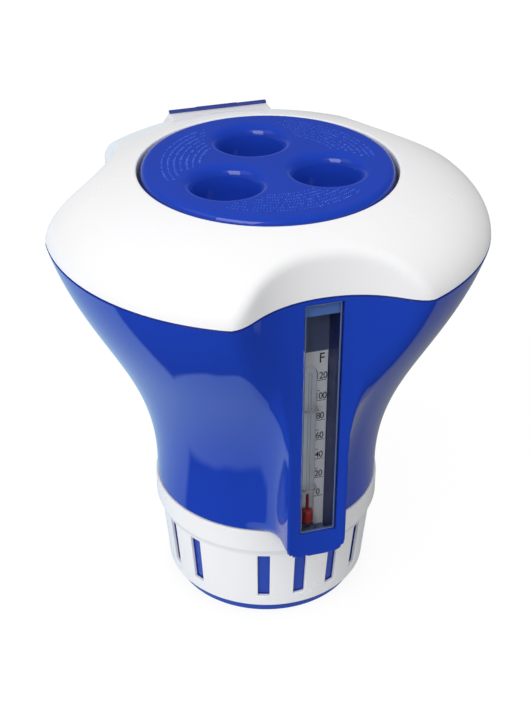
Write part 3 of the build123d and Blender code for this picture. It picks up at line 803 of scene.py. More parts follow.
def body_radius(hull, turn, height):
    """Round body with the box's sides grown out of it, along a ray."""
    flare = flare_radius(hull, height)
    rise = 0.5 * MM
    lean = (flare_radius(hull, height + rise) - flare_radius(hull, height - rise)) / (2 * rise)
    square = 1 / np.sqrt(1 + lean ** 2)
    off = turn - FRONT
    across = np.abs(np.sin(off))
    half_width = box_half_width(hull, height)
    reach = halved(turn, 0.03, 0.13, 26, lambda r: smooth_min(
        (r - flare) * square, r * across - half_width, hull.box_foot) > 0)
    return np.where(np.cos(off) > 0.5, reach, flare)


def hull_radius(hull, turn, height):
    """Outside of the hull along a ray, at a height."""
    body = body_radius(hull, turn, height)
    wall = scallop_radius(hull, turn)
    aside = hull.scallop_reach * np.abs(np.tan(from_scallop(turn)))
    share = np.clip((aside - hull.box_half) / hull.box_edge_fade, 0, 1)
    front = (np.cos(turn - FRONT) > 0.5) & (height < hull.box_top)
    reach = np.where(front, hull.box_edge + (hull.crease_soft - hull.box_edge) * share, hull.crease_soft)
    return smooth_min(body, wall, reach)


def rim_outline(hull, turn):
    """Outline of the hull's rim along a ray."""
    return smooth_min(np.full_like(turn, hull.rim_radius), scallop_radius(hull, turn), hull.crease_soft)


def ring_at(turn, radius, height):
    radius = np.broadcast_to(radius, turn.shape)
    return np.stack([radius * np.cos(turn), radius * np.sin(turn), np.full_like(turn, height)], 1)


def moved_in(ring, distance):
    """A ring of points moved inwards, square to its own plan."""
    along = np.roll(ring, -1, 0) - np.roll(ring, 1, 0)
    out = np.stack([along[:, 1], -along[:, 0], np.zeros(len(ring))], 1)
    return ring - out / np.linalg.norm(out, axis=1)[:, None] * distance


# ---------------------------------------------------------------- hull
def hull_mesh(hull, material):
    """Hull wall with its window, rim, underside and the hole for the tube."""
    turn = lobe_columns(hull)
    window_high = hull.seam_height - hull.window_margin
    corner_top = hull.base_height + hull.box_corner + MM
    heights = spaced([hull.base_height, corner_top], 0.75 * MM)
    heights += spaced([corner_top, hull.window_low, window_high, hull.seam_height], 2.3 * MM)[1:]
    outer = [ring_at(turn, hull_radius(hull, turn, np.full_like(turn, z)), z) for z in heights]
    floor_top = hull.base_height + hull.skin
    kept = [i for i, z in enumerate(heights) if z > floor_top + 2 * MM]
    inner = [moved_in(outer[i], hull.skin) for i in reversed(kept)]
    foot = moved_in(outer[kept[0]], hull.skin)
    foot[:, 2] = floor_top
    hole = [ring_at(turn, hull.tube_hole, floor_top), ring_at(turn, hull.tube_hole, hull.base_height)]
    vertices, faces = closed_rings(outer + inner + [foot] + hole)
    columns = len(turn)
    aside = hull.scallop_reach * np.tan(np.clip(turn - FRONT, -1.0, 1.0)) - hull.window_side
    across = [j for j in range(columns) if abs(aside[j]) < hull.window_half + 0.05 * MM]
    up = [i for i, z in enumerate(heights) if hull.window_low - HAIR < z < window_high + HAIR]
    inside = {i: len(outer) + len(kept) - 1 - kept.index(i) for i in up}
    for i in up[:-1]:
        for j in across[:-1]:
            del faces[i, j], faces[inside[i] - 1, j]
    edge = [(i, across[0]) for i in up] + [(up[-1], j) for j in across[1:]]
    edge += [(i, across[-1]) for i in reversed(up[:-1])] + [(up[0], j) for j in reversed(across[1:-1])]
    reveal = []
    for (i, j), (k, m) in zip(edge, edge[1:] + edge[:1]):
        reveal.append((i * columns + j, k * columns + m, inside[k] * columns + m, inside[i] * columns + j))
    return piece_from("hull_body", vertices, list(faces.values()) + reveal, material)


def pocket_mesh(hull, material):
    """Tray behind the window that holds the thermometer."""
    half = hull.window_half - hull.ledge
    front = 0.75 * hull.skin - hull.scallop_reach
    back = -hull.pocket_back
    side = hull.window_side
    top = hull.seam_height - hull.window_margin - hull.ledge
    wall = hull.skin
    rims = [(half + wall, front, hull.pocket_low - 0.6 * wall, top + 0.4 * wall),
            (half, front, hull.pocket_low, top),
            (half, back, hull.pocket_low, top),
            (half + wall, back + 0.6 * wall, hull.pocket_low - 0.6 * wall, top + 0.4 * wall)]
    vertices = []
    for x, y, low, high in rims:
        vertices += [(side - x, y, low), (side + x, y, low), (side + x, y, high), (side - x, y, high)]
    faces = [(a * 4 + i, a * 4 + (i + 1) % 4, b * 4 + (i + 1) % 4, b * 4 + i)
             for a, b in ((0, 1), (1, 2), (3, 0)) for i in range(4)]
    faces += [(8, 9, 10, 11), (12, 15, 14, 13)]
    return piece_from("thermometer_pocket", vertices, faces, material)


class DISPENSER_OT_hull(bpy.types.Operator):
    """Makes the flared hull with its window and the thermometer pocket"""
    bl_idname = "dispenser.hull"
    bl_label = "Hull"

    def execute(self, context):
        hull = settings(context, "hull")
        blue = finish(context, "blue")
        body = soften(hull_mesh(hull, blue), hull.edge_round, limit=50.0, segments=2, sharp=50.0)
        place_piece(body, "float", "blue_plastic", "hull")
        # the pocket wears the tray blue, which is painted shade
        pocket = soften(pocket_mesh(hull, finish(context, "tray")), 0.3 * MM)
        place_piece(pocket, "float", "blue_plastic")
        half = hull.window_half - hull.ledge + 0.1 * MM
        across = (hull.window_side - half, hull.window_side + half)
        top = hull.seam_height - hull.window_margin - 0.1 * MM
        # a bar across the pocket's top in the pale lip blue: painted light for the lit band under the shell's edge
        lip = block("pocket_lip", across, (COVER_HIGH.y + 0.1 * MM, COVER_HIGH.y + 1.4 * MM),
                    (top - hull.pocket_lip, top), finish(context, "lip"))
        place_piece(soften(lip, 0.3 * MM), "float", "blue_plastic")
        back = block("pocket_backing", across, (CARD_LOW.y + 0.1 * MM, CARD_LOW.y + 0.9 * MM),
                     (hull.pocket_low + 1.0 * MM, top), finish(context, "slate"))
        place_piece(soften(back, 0.1 * MM), "float", "blue_plastic")
        return {"FINISHED"}


# ---------------------------------------------------------------- dome
def dome_curve(hull, shell, inset):
    """(radius, height) points from the shell's rim over the dome to the well."""
    rim = hull.rim_radius - shell.rim_inset - inset
    top = shell.recess_height - inset
    low = SEAL_HIGH.z + shell.rim_lift
    return bezier([(rim, low), (rim - shell.edge_in, low + shell.edge_rise - inset),
                   (shell.recess_radius + shell.shoulder - inset, top - shell.shoulder_drop),
                   (shell.recess_radius, top)], 240)


def dome_section(shell, curve, outline, low, inset, count):
    """(radius, height) points from the rim up the scallop's wall and over the dome, evenly spaced."""
    outline = min(outline, curve[0, 0])
    inner_end = shell.recess_radius + (shell.well_edge if inset == 0 else 0.0)
    top = float(np.interp(-outline, -curve[:, 0], curve[:, 1]))
    soft = min(shell.soft, 0.5 * (top - low))
    crown = outline - soft
    after = float(np.interp(-crown, -curve[:, 0], curve[:, 1]))
    t = np.linspace(0, 1, 9)[:, None]
    corner = (1 - t) ** 2 * np.array([outline, top - soft]) + 2 * t * (1 - t) * np.array([outline, top])
    corner = corner + t ** 2 * np.array([crown, after])
    over = curve[(curve[:, 0] < crown - HAIR) & (curve[:, 0] > inner_end)]
    end = [[inner_end, float(np.interp(-inner_end, -curve[:, 0], curve[:, 1]))]]
    path = np.concatenate([[[outline, low]], corner, over, end])
    step = np.concatenate([[0], np.cumsum(np.hypot(*np.diff(path, axis=0).T))])
    at = np.linspace(0, step[-1], count)
    return np.stack([np.interp(at, step, path[:, 0]), np.interp(at, step, path[:, 1])], 1)


def dome_rings(hull, shell, turn, inset, count):
    curve = dome_curve(hull, shell, inset)
    outline = rim_outline(hull, turn) - shell.rim_inset - inset
    low = SEAL_HIGH.z + shell.rim_lift
    sections = np.array([dome_section(shell, curve, r, low, inset, count) for r in outline])
    return [np.stack([sections[:, i, 0] * np.cos(turn), sections[:, i, 0] * np.sin(turn), sections[:, i, 1]], 1)
            for i in range(count)]


def dome_mesh(hull, shell, material):
    turn = lobe_columns(hull)
    outer = dome_rings(hull, shell, turn, 0.0, 46)
    inner = dome_rings(hull, shell, turn, hull.skin, 24)
    edge = shell.well_edge
    rim = arc((shell.recess_radius + edge, outer[-1][0, 2] - edge), edge, 90, 180, 6)[1:]
    rim = [ring_at(turn, r, z) for r, z in rim]
    return piece_from("dome", *faces_of(outer + rim + inner[::-1]), material)


def faces_of(rings):
    vertices, faces = closed_rings(rings)
    return vertices, list(faces.values())


def rear_pad(shell, material):
    """Raised pad on the rear lobe, with sloping ends."""
    top = shell.recess_height - shell.pad_sink
    foot = top - shell.pad_height
    ends = [(-shell.pad_foot_half, foot), (shell.pad_foot_half, foot), (shell.pad_half, top), (-shell.pad_half, top)]
    vertices = [(x, y, z) for y in (shell.pad_front, shell.pad_back) for x, z in ends]
    faces = [(0, 1, 2, 3), (7, 6, 5, 4)] + [(i, i + 4, (i + 1) % 4 + 4, (i + 1) % 4) for i in range(4)]
    return piece_from("rear_pad", vertices, faces, material)


def well_mesh(hull, shell, material):
    """Well under the dome's opening, and the neck that the lid screws on."""
    wall = shell.recess_radius + hull.skin
    outer_neck = shell.neck_bore + shell.neck_wall
    under = shell.well_floor - hull.skin
    top = shell.recess_height - hull.skin - 0.1 * MM
    fillet, edge = shell.well_fillet, shell.neck_edge
    profile = [(wall, under), (wall, top), (shell.recess_radius, top)]
    profile += arc((shell.recess_radius - fillet, shell.well_floor + fillet), fillet, 0, -90, 5)
    profile += arc((outer_neck + fillet, shell.well_floor + fillet), fillet, -90, -180, 5)
    profile += arc((outer_neck - edge, NECK_TOP - edge), edge, 0, 90, 4)
    profile += arc((shell.neck_bore + edge, NECK_TOP - edge), edge, 90, 180, 4)
    profile += [(shell.neck_bore, WELL_FOOT), (outer_neck, WELL_FOOT), (outer_neck, under)]
    return piece_from("lid_well_body", *faces_of(turned_rings(profile, 180)), material)


def ridge_tree():
    """Geometry Nodes: helical bars round an axis, each with a rectangular section."""
    tree = Growth("Helical ridges", {"Count": 3, "Radius": 0.05, "Low": 0.2, "Rise": 0.006, "Span": 1.0,
                                     "Depth": 0.002, "Height": 0.002})
    inside, index, steps = tree.inside, tree.index(), 40
    share = index / (steps - 1.0)
    place = tree.round_point(share * inside["Span"], inside["Radius"], share * inside["Rise"] + inside["Low"])
    line = tree.add("GeometryNodeMeshLine", {"Count": steps})
    path = tree.add("GeometryNodeMeshToCurve", {"Mesh": tree.laid(line, place)})
    upright = tree.add("GeometryNodeSetCurveNormal", {"Curve": path}, mode="Z_UP")
    section = tree.add("GeometryNodeCurvePrimitiveQuadrilateral",
                       {"Width": inside["Depth"], "Height": inside["Height"]})
    bar = tree.add("GeometryNodeCurveToMesh", {"Curve": upright, "Profile Curve": section, "Fill Caps": True})
    copies = tree.add("GeometryNodeMeshLine", {"Count": inside["Count"], "Offset": (0.0, 0.0, 0.0)})
    spin = tree.point(z=index * tree.maths("DIVIDE", 2 * pi, inside["Count"]))
    return tree.close(tree.placed(copies, bar, {"Rotation": spin}))


def seed(name):
    """An empty piece for a tree to grow from."""
    return linked(name, bpy.data.meshes.new(name))


def grown(piece, maker, inputs):
    """Grows a piece by a Geometry Nodes tree, and leaves a plain mesh."""
    tree = once(maker)
    modifier = piece.modifiers.new(tree.name, "NODES")
    modifier.node_group = tree
    names = {item.name: item.identifier for item in tree.interface.items_tree if item.in_out == "INPUT"}
    for label, value in inputs.items():
        modifier[names[label]] = value
    return bake(piece)


class DISPENSER_OT_shell(bpy.types.Operator):
    """Makes the dome with its rear pad, the lid's well and the threaded neck"""
    bl_idname = "dispenser.shell"
    bl_label = "Top shell"

    def execute(self, context):
        hull, shell = settings(context, "hull", "shell")
        white = finish(context, "white")
        dome = dome_mesh(hull, shell, white)
        pad = soften(rear_pad(shell, white), shell.pad_round)
        joined(dome, pad, "UNION")
        notch_floor = shell.recess_height - shell.pad_sink - shell.notch_depth
        notch = block("notch", (-shell.notch_half, shell.notch_half), (shell.pad_back, 0.12),
                      (notch_floor, 0.24), white)
        joined(dome, notch, "DIFFERENCE")
        floor = block("notch_floor", (-shell.notch_half - hull.skin, shell.notch_half + hull.skin),
                      (shell.pad_back - hull.skin, shell.notch_back), (notch_floor - hull.skin, notch_floor), white)
        smooth(dome, 38.0)
        place_piece(dome, "float", "white_plastic", "top_shell")
        place_piece(soften(floor, 0.3 * MM), "float", "white_plastic")
        well = well_mesh(hull, shell, white)
        smooth(well, 50.0)
        place_piece(well, "float", "white_plastic", "lid_well")
        ridges = grown(seed("neck_ridges"), ridge_tree, {
            "Radius": shell.neck_bore + shell.neck_wall + 0.4 * shell.ridge_depth,
            "Low": NECK_TOP - shell.ridge_drop, "Span": shell.ridge_span,
            "Rise": shell.ridge_lead * shell.ridge_span / (2 * pi),
            "Depth": 1.2 * shell.ridge_depth, "Height": shell.ridge_height, "Material": white})
        place_piece(soften(ridges, 0.3 * MM), "float", "white_plastic")
        return {"FINISHED"}


class DISPENSER_OT_seam(bpy.types.Operator):
    """Makes the dark seal that shows as a line between hull and dome"""
    bl_idname = "dispenser.seam"
    bl_label = "Seam seal"

    def execute(self, context):
        hull, shell = settings(context, "hull", "shell")
        outer, inner = hull.seal_inset, hull.seal_inset + hull.seal_width
        turn = lobe_columns(hull)
        rim = ring_at(turn, rim_outline(hull, turn), 0.0)
        top = SEAL_HIGH.z + shell.rim_lift
        rings = []
        for inset, z in ((outer, SEAL_LOW.z), (outer, top), (inner, top), (inner, SEAL_LOW.z)):
            ring = moved_in(rim, inset)
            ring[:, 2] = z
            rings.append(ring)
        seal = piece_from("seam_line", *faces_of(rings), finish(context, "strip"))
        smooth(seal)
        place_piece(seal, "float", "seal_rubber", "seam_seal")
        return {"FINISHED"}


# ---------------------------------------------------------------- lid
def fill_between(work, outline, holes):
    """Fills a flat face inside an outline, round its holes."""
    edges = []
    for loop in [outline] + holes:
        for a, b in zip(loop, loop[1:] + loop[:1]):
            edges.append(work.edges.get((a, b)) or work.edges.new((a, b)))
    bmesh.ops.triangle_fill(work, use_beauty=True, use_dissolve=False, edges=edges)


def add_rings(work, rings, closed_end=False):
    """Adds open rings of points to a mesh, and a fan over the last one if asked; returns the rings."""
    loops = [[work.verts.new(p) for p in ring] for ring in rings]
    for low, high in zip(loops, loops[1:]):
        for j in range(len(low)):
            k = (j + 1) % len(low)
            work.faces.new((low[j], low[k], high[k], high[j]))
    if closed_end:
        last = loops[-1]
        middle = work.verts.new(np.mean(rings[-1], axis=0))
        for j in range(len(last)):
            work.faces.new((last[j], last[(j + 1) % len(last)], middle))
    return loops


def cup_profile(lid, grow, start_height):
    """(radius, height) points down the inside of a cup, or down its outside when grown by its wall."""
    bottom = lid.top - lid.cup_depth - grow
    foot = lid.cup_foot + grow
    bowl = lid.cup_bowl + grow
    slope = (lid.cup_mouth - lid.cup_foot) / lid.cup_depth
    lean = degrees(atan(slope))

    def wall_at(z):
        return foot + (z - bottom) * slope

    tangent = bottom + bowl * (1 - sin(radians(lean)))
    centre = (wall_at(tangent) - bowl * cos(radians(lean)), bottom + bowl)
    down = [(wall_at(z), z) for z in np.linspace(start_height, tangent, 5)]
    return down + arc(centre, bowl, -lean, -90, 10)[1:] + [(0.4 * centre[0], bottom)]


def lid_mesh(lid, material):
    """Lid as one closed skin: flat top with three cups, rounded rim, skirt and underside."""
    work = bmesh.new()
    under = lid.top - lid.plate
    flat = lid.radius - lid.edge_round
    skirt = lid.radius - lid.skirt_step
    rim_low = lid.top - lid.rim_height
    profile = arc((flat, lid.top - lid.edge_round), lid.edge_round, 90, 0, 12)
    profile += [(lid.radius, rim_low + 0.5 * MM), (lid.radius - 0.4 * MM, rim_low), (skirt, rim_low),
                (skirt, lid.skirt_low), (lid.bore, lid.skirt_low), (lid.bore, under)]
    side = add_rings(work, turned_rings(profile, 200))
    top_holes, low_holes = [], []
    for i in range(3):
        turn = pi / 2 + THIRD * i
        centre = (lid.cup_offset * cos(turn), lid.cup_offset * sin(turn))
        mouth = lid.cup_mouth + lid.cup_lip
        lip = arc((mouth, lid.top - lid.cup_lip), lid.cup_lip, 90, 176, 15)
        inside = lip + cup_profile(lid, 0.0, lid.top - lid.cup_lip)[1:]
        top_holes.append(add_rings(work, turned_rings(inside, 96, centre), True)[0])
        outside = cup_profile(lid, lid.cup_wall, under)
        low_holes.append(add_rings(work, turned_rings(outside, 96, centre), True)[0])
    fill_between(work, side[0], top_holes)
    fill_between(work, side[-1], low_holes)
    bmesh.ops.recalc_face_normals(work, faces=work.faces)
    mesh = bpy.data.meshes.new("lid_body")
    work.to_mesh(mesh)
    work.free()
    return linked("lid_body", mesh, material)


def mark_tree():
    """Geometry Nodes: rows of raised dashes on arcs, some left out, each a little pillow."""
    tree = Growth("Raised grip marks", {
        "Rows": 4, "Columns": 30, "Inner radius": 0.036, "Row pitch": 0.003, "Start": 0.0, "Span": 1.0,
        "Top": 0.219, "Dash length": 0.0012, "Dash width": 0.0005, "Dash height": 0.0003, "Left out": 0.2,
        "Cup offset": 0.026, "Cup edge": 0.02, "Seed": 1})
    inside, index = tree.inside, tree.index()
    points = tree.add("GeometryNodePoints", {"Count": inside["Rows"] * inside["Columns"]})
    row = tree.maths("FLOOR", (index + 0.5) / inside["Columns"])
    column = index - row * inside["Columns"]
    radius = row * inside["Row pitch"] + inside["Inner radius"]
    turn = column / inside["Columns"] * inside["Span"] + inside["Start"]
    laid = tree.laid(points, tree.round_point(turn, radius, inside["Top"]))
    # none stands on a cup's lip: the way to the nearest cup, by the cosine rule
    offset = inside["Cup offset"]
    from_cup = (turn - pi / 6) % THIRD - pi / 3
    across = radius * offset * (tree.maths("COSINE", from_cup) * 2.0)
    apart = tree.maths("SQRT", radius * radius + offset * offset - across)
    gone = tree.maths("MAXIMUM", tree.chance(inside["Seed"]) < inside["Left out"], apart < inside["Cup edge"])
    kept = tree.add("GeometryNodeDeleteGeometry", {"Geometry": laid, "Selection": gone}, domain="POINT")
    ball = tree.add("GeometryNodeMeshUVSphere", {"Segments": 8, "Rings": 6, "Radius": 0.5})
    # the dash's length and tilt vary a little from one to the next
    vary = tree.chance(inside["Seed"] + 7.0, 0.35, 1.0)
    size = tree.point(inside["Dash length"] * vary, inside["Dash width"], inside["Dash height"] * 2.0)
    at = tree.split(tree.add("GeometryNodeInputPosition"))
    tilt = tree.chance(inside["Seed"] + 3.0, -0.7, 0.7)
    spin = tree.point(z=tree.maths("ARCTAN2", at[1], at[0]) + tilt)
    return tree.close(tree.placed(kept, ball, {"Rotation": spin, "Scale": size}))


class DISPENSER_OT_lid(bpy.types.Operator):
    """Makes the screw lid with its three finger cups and its lugs"""
    bl_idname = "dispenser.lid"
    bl_label = "Lid"

    def execute(self, context):
        lid, shell = settings(context, "lid", "shell")
        blue = finish(context, "blue")
        body = lid_mesh(lid, blue)
        smooth(body, 50.0)
        place_piece(evened(body, 100), "lid", "blue_plastic", "lid")
        reach = lid.bore - shell.neck_bore - shell.neck_wall
        lugs = grown(seed("lid_lugs"), ridge_tree, {
            "Radius": lid.bore - 0.5 * reach + lid.lug_gap + lid.lug_root,
            "Low": NECK_TOP - shell.ridge_drop - (shell.ridge_height + lid.lug_height) / 2 - lid.lug_gap,
            "Span": lid.lug_span, "Rise": shell.ridge_lead * lid.lug_span / (2 * pi),
            "Depth": reach - lid.lug_gap, "Height": lid.lug_height, "Material": blue})
        place_piece(soften(lugs, 0.3 * MM), "lid", "blue_plastic")
        return {"FINISHED"}


class DISPENSER_OT_grip_marks(bpy.types.Operator):
    """Makes the three fields of raised grip marks between the cups"""
    bl_idname = "dispenser.grip_marks"
    bl_label = "Grip marks"

    def execute(self, context):
        lid = settings(context, "lid")
        # name, start in degrees, inner radius and row pitch in millimetres, share left out
        fields = [("left", 112, 30.0, 2.75, 0.16), ("right", -8, 32.4, 2.5, 0.24), ("front", 232, 32.4, 2.5, 0.2)]
        for number, (label, start, inner, pitch, left_out) in enumerate(fields):
            middle = (inner + pitch * lid.mark_rows / 2) * MM
            # the marks wear the lighter mark blue, a painted highlight on their raised edges
            marks = grown(seed("grip_marks_" + label), mark_tree, {
                "Rows": lid.mark_rows, "Columns": round(lid.mark_span * middle / lid.mark_gap),
                "Inner radius": inner * MM, "Row pitch": pitch * MM,
                "Start": radians(start), "Span": lid.mark_span, "Top": lid.top - 0.05 * MM,
                "Dash length": lid.mark_length, "Dash width": lid.mark_width, "Dash height": lid.mark_height,
                "Cup offset": lid.cup_offset, "Cup edge": lid.cup_mouth + lid.cup_lip + lid.mark_length / 2,
                "Left out": left_out, "Seed": number + 1, "Material": finish(context, "mark")})
            smooth(marks)
            place_piece(marks, "lid", "blue_plastic")
        return {"FINISHED"}


# ---------------------------------------------------------------- sleeve and basket
def slot_tree():
    """Geometry Nodes: cuts evenly pitched slots out of a round wall, and gives it a thickness."""
    tree = Growth("Slotted wall", {"Places": 18, "Blank every": 6, "Blank at": 4, "Phase": 0.0,
                                   "Slot angle": 0.118, "Slot low": 0.0123, "Slot high": 0.0393, "Wall": 0.0018})
    inside = tree.inside
    at = tree.split(tree.add("GeometryNodeInputPosition"))
    turn = tree.maths("ARCTAN2", at[1], at[0]) - inside["Phase"]
    pitch = tree.maths("DIVIDE", 2 * pi, inside["Places"])
    place = tree.maths("ROUND", turn / pitch)
    near = abs(turn - place * pitch) < inside["Slot angle"] / 2.0
    open_here = abs(place % inside["Blank every"] - inside["Blank at"]) > 0.5
    between = (at[2] > inside["Slot low"]) * (at[2] < inside["Slot high"])
    wall = tree.add("GeometryNodeDeleteGeometry",
                    {"Geometry": inside["Geometry"], "Selection": near * open_here * between}, domain="FACE")
    lining = tree.add("GeometryNodeExtrudeMesh", {"Mesh": wall, "Offset Scale": inside["Wall"] * -1.0,
                                                  "Individual": False})
    both = tree.node("GeometryNodeJoinGeometry")
    for side in (wall, tree.add("GeometryNodeFlipFaces", {"Mesh": lining})):
        tree.fill(both.inputs[0], side)
    return tree.close(tree.add("GeometryNodeMergeByDistance",
                               {"Geometry": Value(tree, both.outputs[0]), "Distance": 0.01 * MM}))


def slotted_wall(name, profile, width, radius, phase, wall, sleeve, material):
    """A round wall turned from its outside profile, with the slots that the sizes give."""
    pitch = 2 * pi / sleeve.pitches
    slot = 2 * atan2(width / 2, radius)
    local = list(np.linspace(-slot / 2, slot / 2, 3)) + list(np.linspace(slot / 2, pitch - slot / 2, 8))[1:-1]
    turn = np.array([FRONT + phase + pitch * i + a for i in range(sleeve.pitches) for a in local])
    rings = [ring_at(turn, r, z) for r, z in profile]
    vertices, faces = closed_rings(rings, joined_up=False)
    mesh = bpy.data.meshes.new(name)
    mesh.from_pydata([tuple(v) for v in vertices], [], list(faces.values()))
    return grown(linked(name, mesh), slot_tree, {
        "Places": sleeve.pitches, "Blank every": sleeve.blank_every, "Blank at": sleeve.blank_at,
        "Phase": FRONT + phase, "Slot angle": slot, "Slot low": sleeve.slot_low, "Slot high": sleeve.slot_high,
        "Wall": wall, "Material": material})


def sleeve_side(sleeve, height):
    """Outside of the sleeve's slotted wall at a height."""
    slope = (sleeve.shoulder_radius - sleeve.foot_radius) / (sleeve.shoulder - SLEEVE_LOW.z)
    return sleeve.foot_radius + (height - SLEEVE_LOW.z) * slope


def wall_heights(sleeve, low, high):
    return spaced([low, sleeve.slot_low, sleeve.slot_high, high], 6 * MM)


class DISPENSER_OT_sleeve(bpy.types.Operator):
    """Makes the white slotted sleeve"""
    bl_idname = "dispenser.sleeve"
    bl_label = "Control sleeve"

    def execute(self, context):
        sleeve = settings(context, "sleeve")
        profile = [(sleeve_side(sleeve, z), z) for z in wall_heights(sleeve, SLEEVE_LOW.z, sleeve.shoulder)]
        profile += [(sleeve.band_radius - 0.5 * MM, sleeve.band_low - 0.7 * MM),
                    (sleeve.band_radius, sleeve.band_low + 0.8 * MM), (sleeve.band_radius, SLEEVE_HIGH.z)]
        body = slotted_wall("sleeve_body", profile, sleeve.slot_width, profile[4][0], sleeve.slot_phase,
                            sleeve.wall, sleeve, finish(context, "white"))
        place_piece(soften(body, 0.35 * MM, segments=2), "sleeve", "white_plastic", "control_sleeve")
        return {"FINISHED"}


class DISPENSER_OT_basket(bpy.types.Operator):
    """Makes the blue vented basket behind the sleeve"""
    bl_idname = "dispenser.basket"
    bl_label = "Basket"

    def execute(self, context):
        sleeve = settings(context, "sleeve")
        foot = SLEEVE_LOW.z + sleeve.basket_foot
        inset = sleeve.wall + sleeve.turn_gap
        profile = [(sleeve_side(sleeve, z) - inset, z) for z in wall_heights(sleeve, foot, BASKET_TOP)]
        pitch = 2 * pi / sleeve.pitches
        blue = finish(context, "blue")
        body = slotted_wall("basket_body", profile, sleeve.vent_width, profile[4][0],
                            sleeve.slot_phase + pitch / 2, sleeve.basket_wall, sleeve, blue)
        place_piece(soften(body, 0.25 * MM, segments=2), "float", "blue_plastic", "basket")
        hole = TUBE_RADIUS - 2.0 * MM
        edge = sleeve_side(sleeve, BASKET_TOP) - inset - 0.4 * MM
        low, high = BASKET_TOP - sleeve.basket_plate, BASKET_TOP - 0.05 * MM
        plate = [(hole, low), (edge, low), (edge, high), (hole, high)]
        ring = piece_from("basket_top", *faces_of(turned_rings(plate, 120)), blue)
        place_piece(soften(ring, 0.3 * MM), "float", "blue_plastic")
        return {"FINISHED"}


class DISPENSER_OT_base(bpy.types.Operator):
    """Makes the vented base cap with softened edges"""
    bl_idname = "dispenser.base"
    bl_label = "Base cap"

    def execute(self, context):
        softened(context, "base_cap", "base_cap_body", "blue", 0.4 * MM, "blue_plastic", segments=2)
        return {"FINISHED"}


# ---------------------------------------------------------------- thermometer
def scale_tree():
    """Geometry Nodes: a column of printed marks, every second one long."""
    tree = Growth("Scale marks", {"Count": 13, "Left": 0.003, "Right": 0.006, "Front": -0.06, "Low": 0.08,
                                  "Pitch": 0.005, "Thickness": 0.0003, "Ink": 0.00005})
    inside, index = tree.inside, tree.index()
    points = tree.add("GeometryNodePoints", {"Count": inside["Count"]})
    wide = (inside["Right"] - inside["Left"]) * (index % 2.0 * -0.62 + 1.0)
    place = tree.point(wide * 0.5 + inside["Left"], inside["Front"], index * inside["Pitch"] + inside["Low"])
    bar = tree.add("GeometryNodeMeshCube", {"Size": (1.0, 1.0, 1.0)})
    at = tree.split(tree.add("GeometryNodeInputPosition"))
    size = tree.point((at[0] - inside["Left"]) * 2.0, inside["Ink"], inside["Thickness"])
    return tree.close(tree.placed(tree.laid(points, place), bar, {"Scale": size}))


def printed(name, text, size, centre_x, foot, front, ink, material):
    """A short printed text, upright on the card."""
    letters = bpy.data.curves.new(name, "FONT")
    letters.body = text
    letters.size = size / CAP_HEIGHT
    letters.extrude = ink / 2
    letters.align_x = "CENTER"
    letters.offset = 0.012 * size
    letters.space_character = 0.92
    piece = linked(name, letters)
    graph = bpy.context.evaluated_depsgraph_get()
    mesh = bpy.data.meshes.new_from_object(piece.evaluated_get(graph))
    bpy.data.objects.remove(piece)
    squeeze = Matrix.Diagonal((NARROW, 1.0, 1.0, 1.0))
    mesh.transform(Matrix.Translation((centre_x, front, foot)) @ Matrix.Rotation(pi / 2, 4, "X") @ squeeze)
    return linked(name, mesh, material)


def upright_frame(low, high, inset, front):
    """Four corners of an upright rectangle inside a box's front."""
    left, right, foot, top = low.x + inset, high.x - inset, low.z + inset, high.z - inset
    return np.array([(left, front, foot), (right, front, foot), (right, front, top), (left, front, top)])


class DISPENSER_OT_thermometer(bpy.types.Operator):
    """Makes the printed scale, the card, the cover with its pale rim of painted highlight and the rest under the bulb
    """
    bl_idname = "dispenser.thermometer"
    bl_label = "Thermometer"

    def execute(self, context):
        scale = settings(context, "scale")
        ink = finish(context, "ink")
        front = CARD_LOW.y - scale.ink / 2
        middle = (CARD_LOW.x + CARD_HIGH.x) / 2 + scale.number_place
        marks = grown(seed("scale_marks"), scale_tree, {
            "Count": 2 * scale.numbers - 1, "Left": middle - scale.mark_half, "Right": middle + scale.mark_half,
            "Front": front, "Low": scale.zero_height, "Pitch": scale.step / 2,
            "Thickness": scale.mark_thick, "Ink": scale.ink, "Material": ink})
        place_piece(marks, "float", "scale_card")
        for i in range(scale.numbers):
            number = str(i * scale.number_step)
            foot = scale.zero_height + scale.step * i + scale.number_rise
            piece = printed("number_" + number, number, scale.text_size, middle, foot, front, scale.ink, ink)
            place_piece(piece, "float", "scale_card")
        unit = printed("unit", "F", scale.unit_size, middle, scale.unit_height, front, scale.ink, ink)
        place_piece(unit, "float", "scale_card")
        softened(context, "scale_card", "card_body", "card", 0.2 * MM, "scale_card")
        cover = softened(context, "window_cover", "cover_body", "cover", 0.35 * MM, "clear_cover")
        cover.visible_shadow = False
        # a thin pale frame inside the cover's front: painted highlight on the cover's edges
        rim = settings(context, "hull").cover_rim
        rings = [upright_frame(COVER_LOW, COVER_HIGH, inset, COVER_LOW.y + depth * MM)
                 for inset, depth in ((rim, 0.2), (rim, -0.05), (2 * rim, -0.05), (2 * rim, 0.2))]
        edge = piece_from("cover_rim", *faces_of(rings), finish(context, "edge"))
        place_piece(edge, "float", "clear_cover")
        softened(context, "bulb_rest", "bulb_rest_body", "slate", 0.4 * MM, "dark_plastic")
        return {"FINISHED"}


class DISPENSER_OT_bracket(bpy.types.Operator):
    """Makes the tie-off bracket with softened edges"""
    bl_idname = "dispenser.bracket"
    bl_label = "Tie-off bracket"

    def execute(self, context):
        softened(context, "tie_off_bracket", "bracket_body", "strip", 0.4 * MM, "blue_plastic")
        return {"FINISHED"}


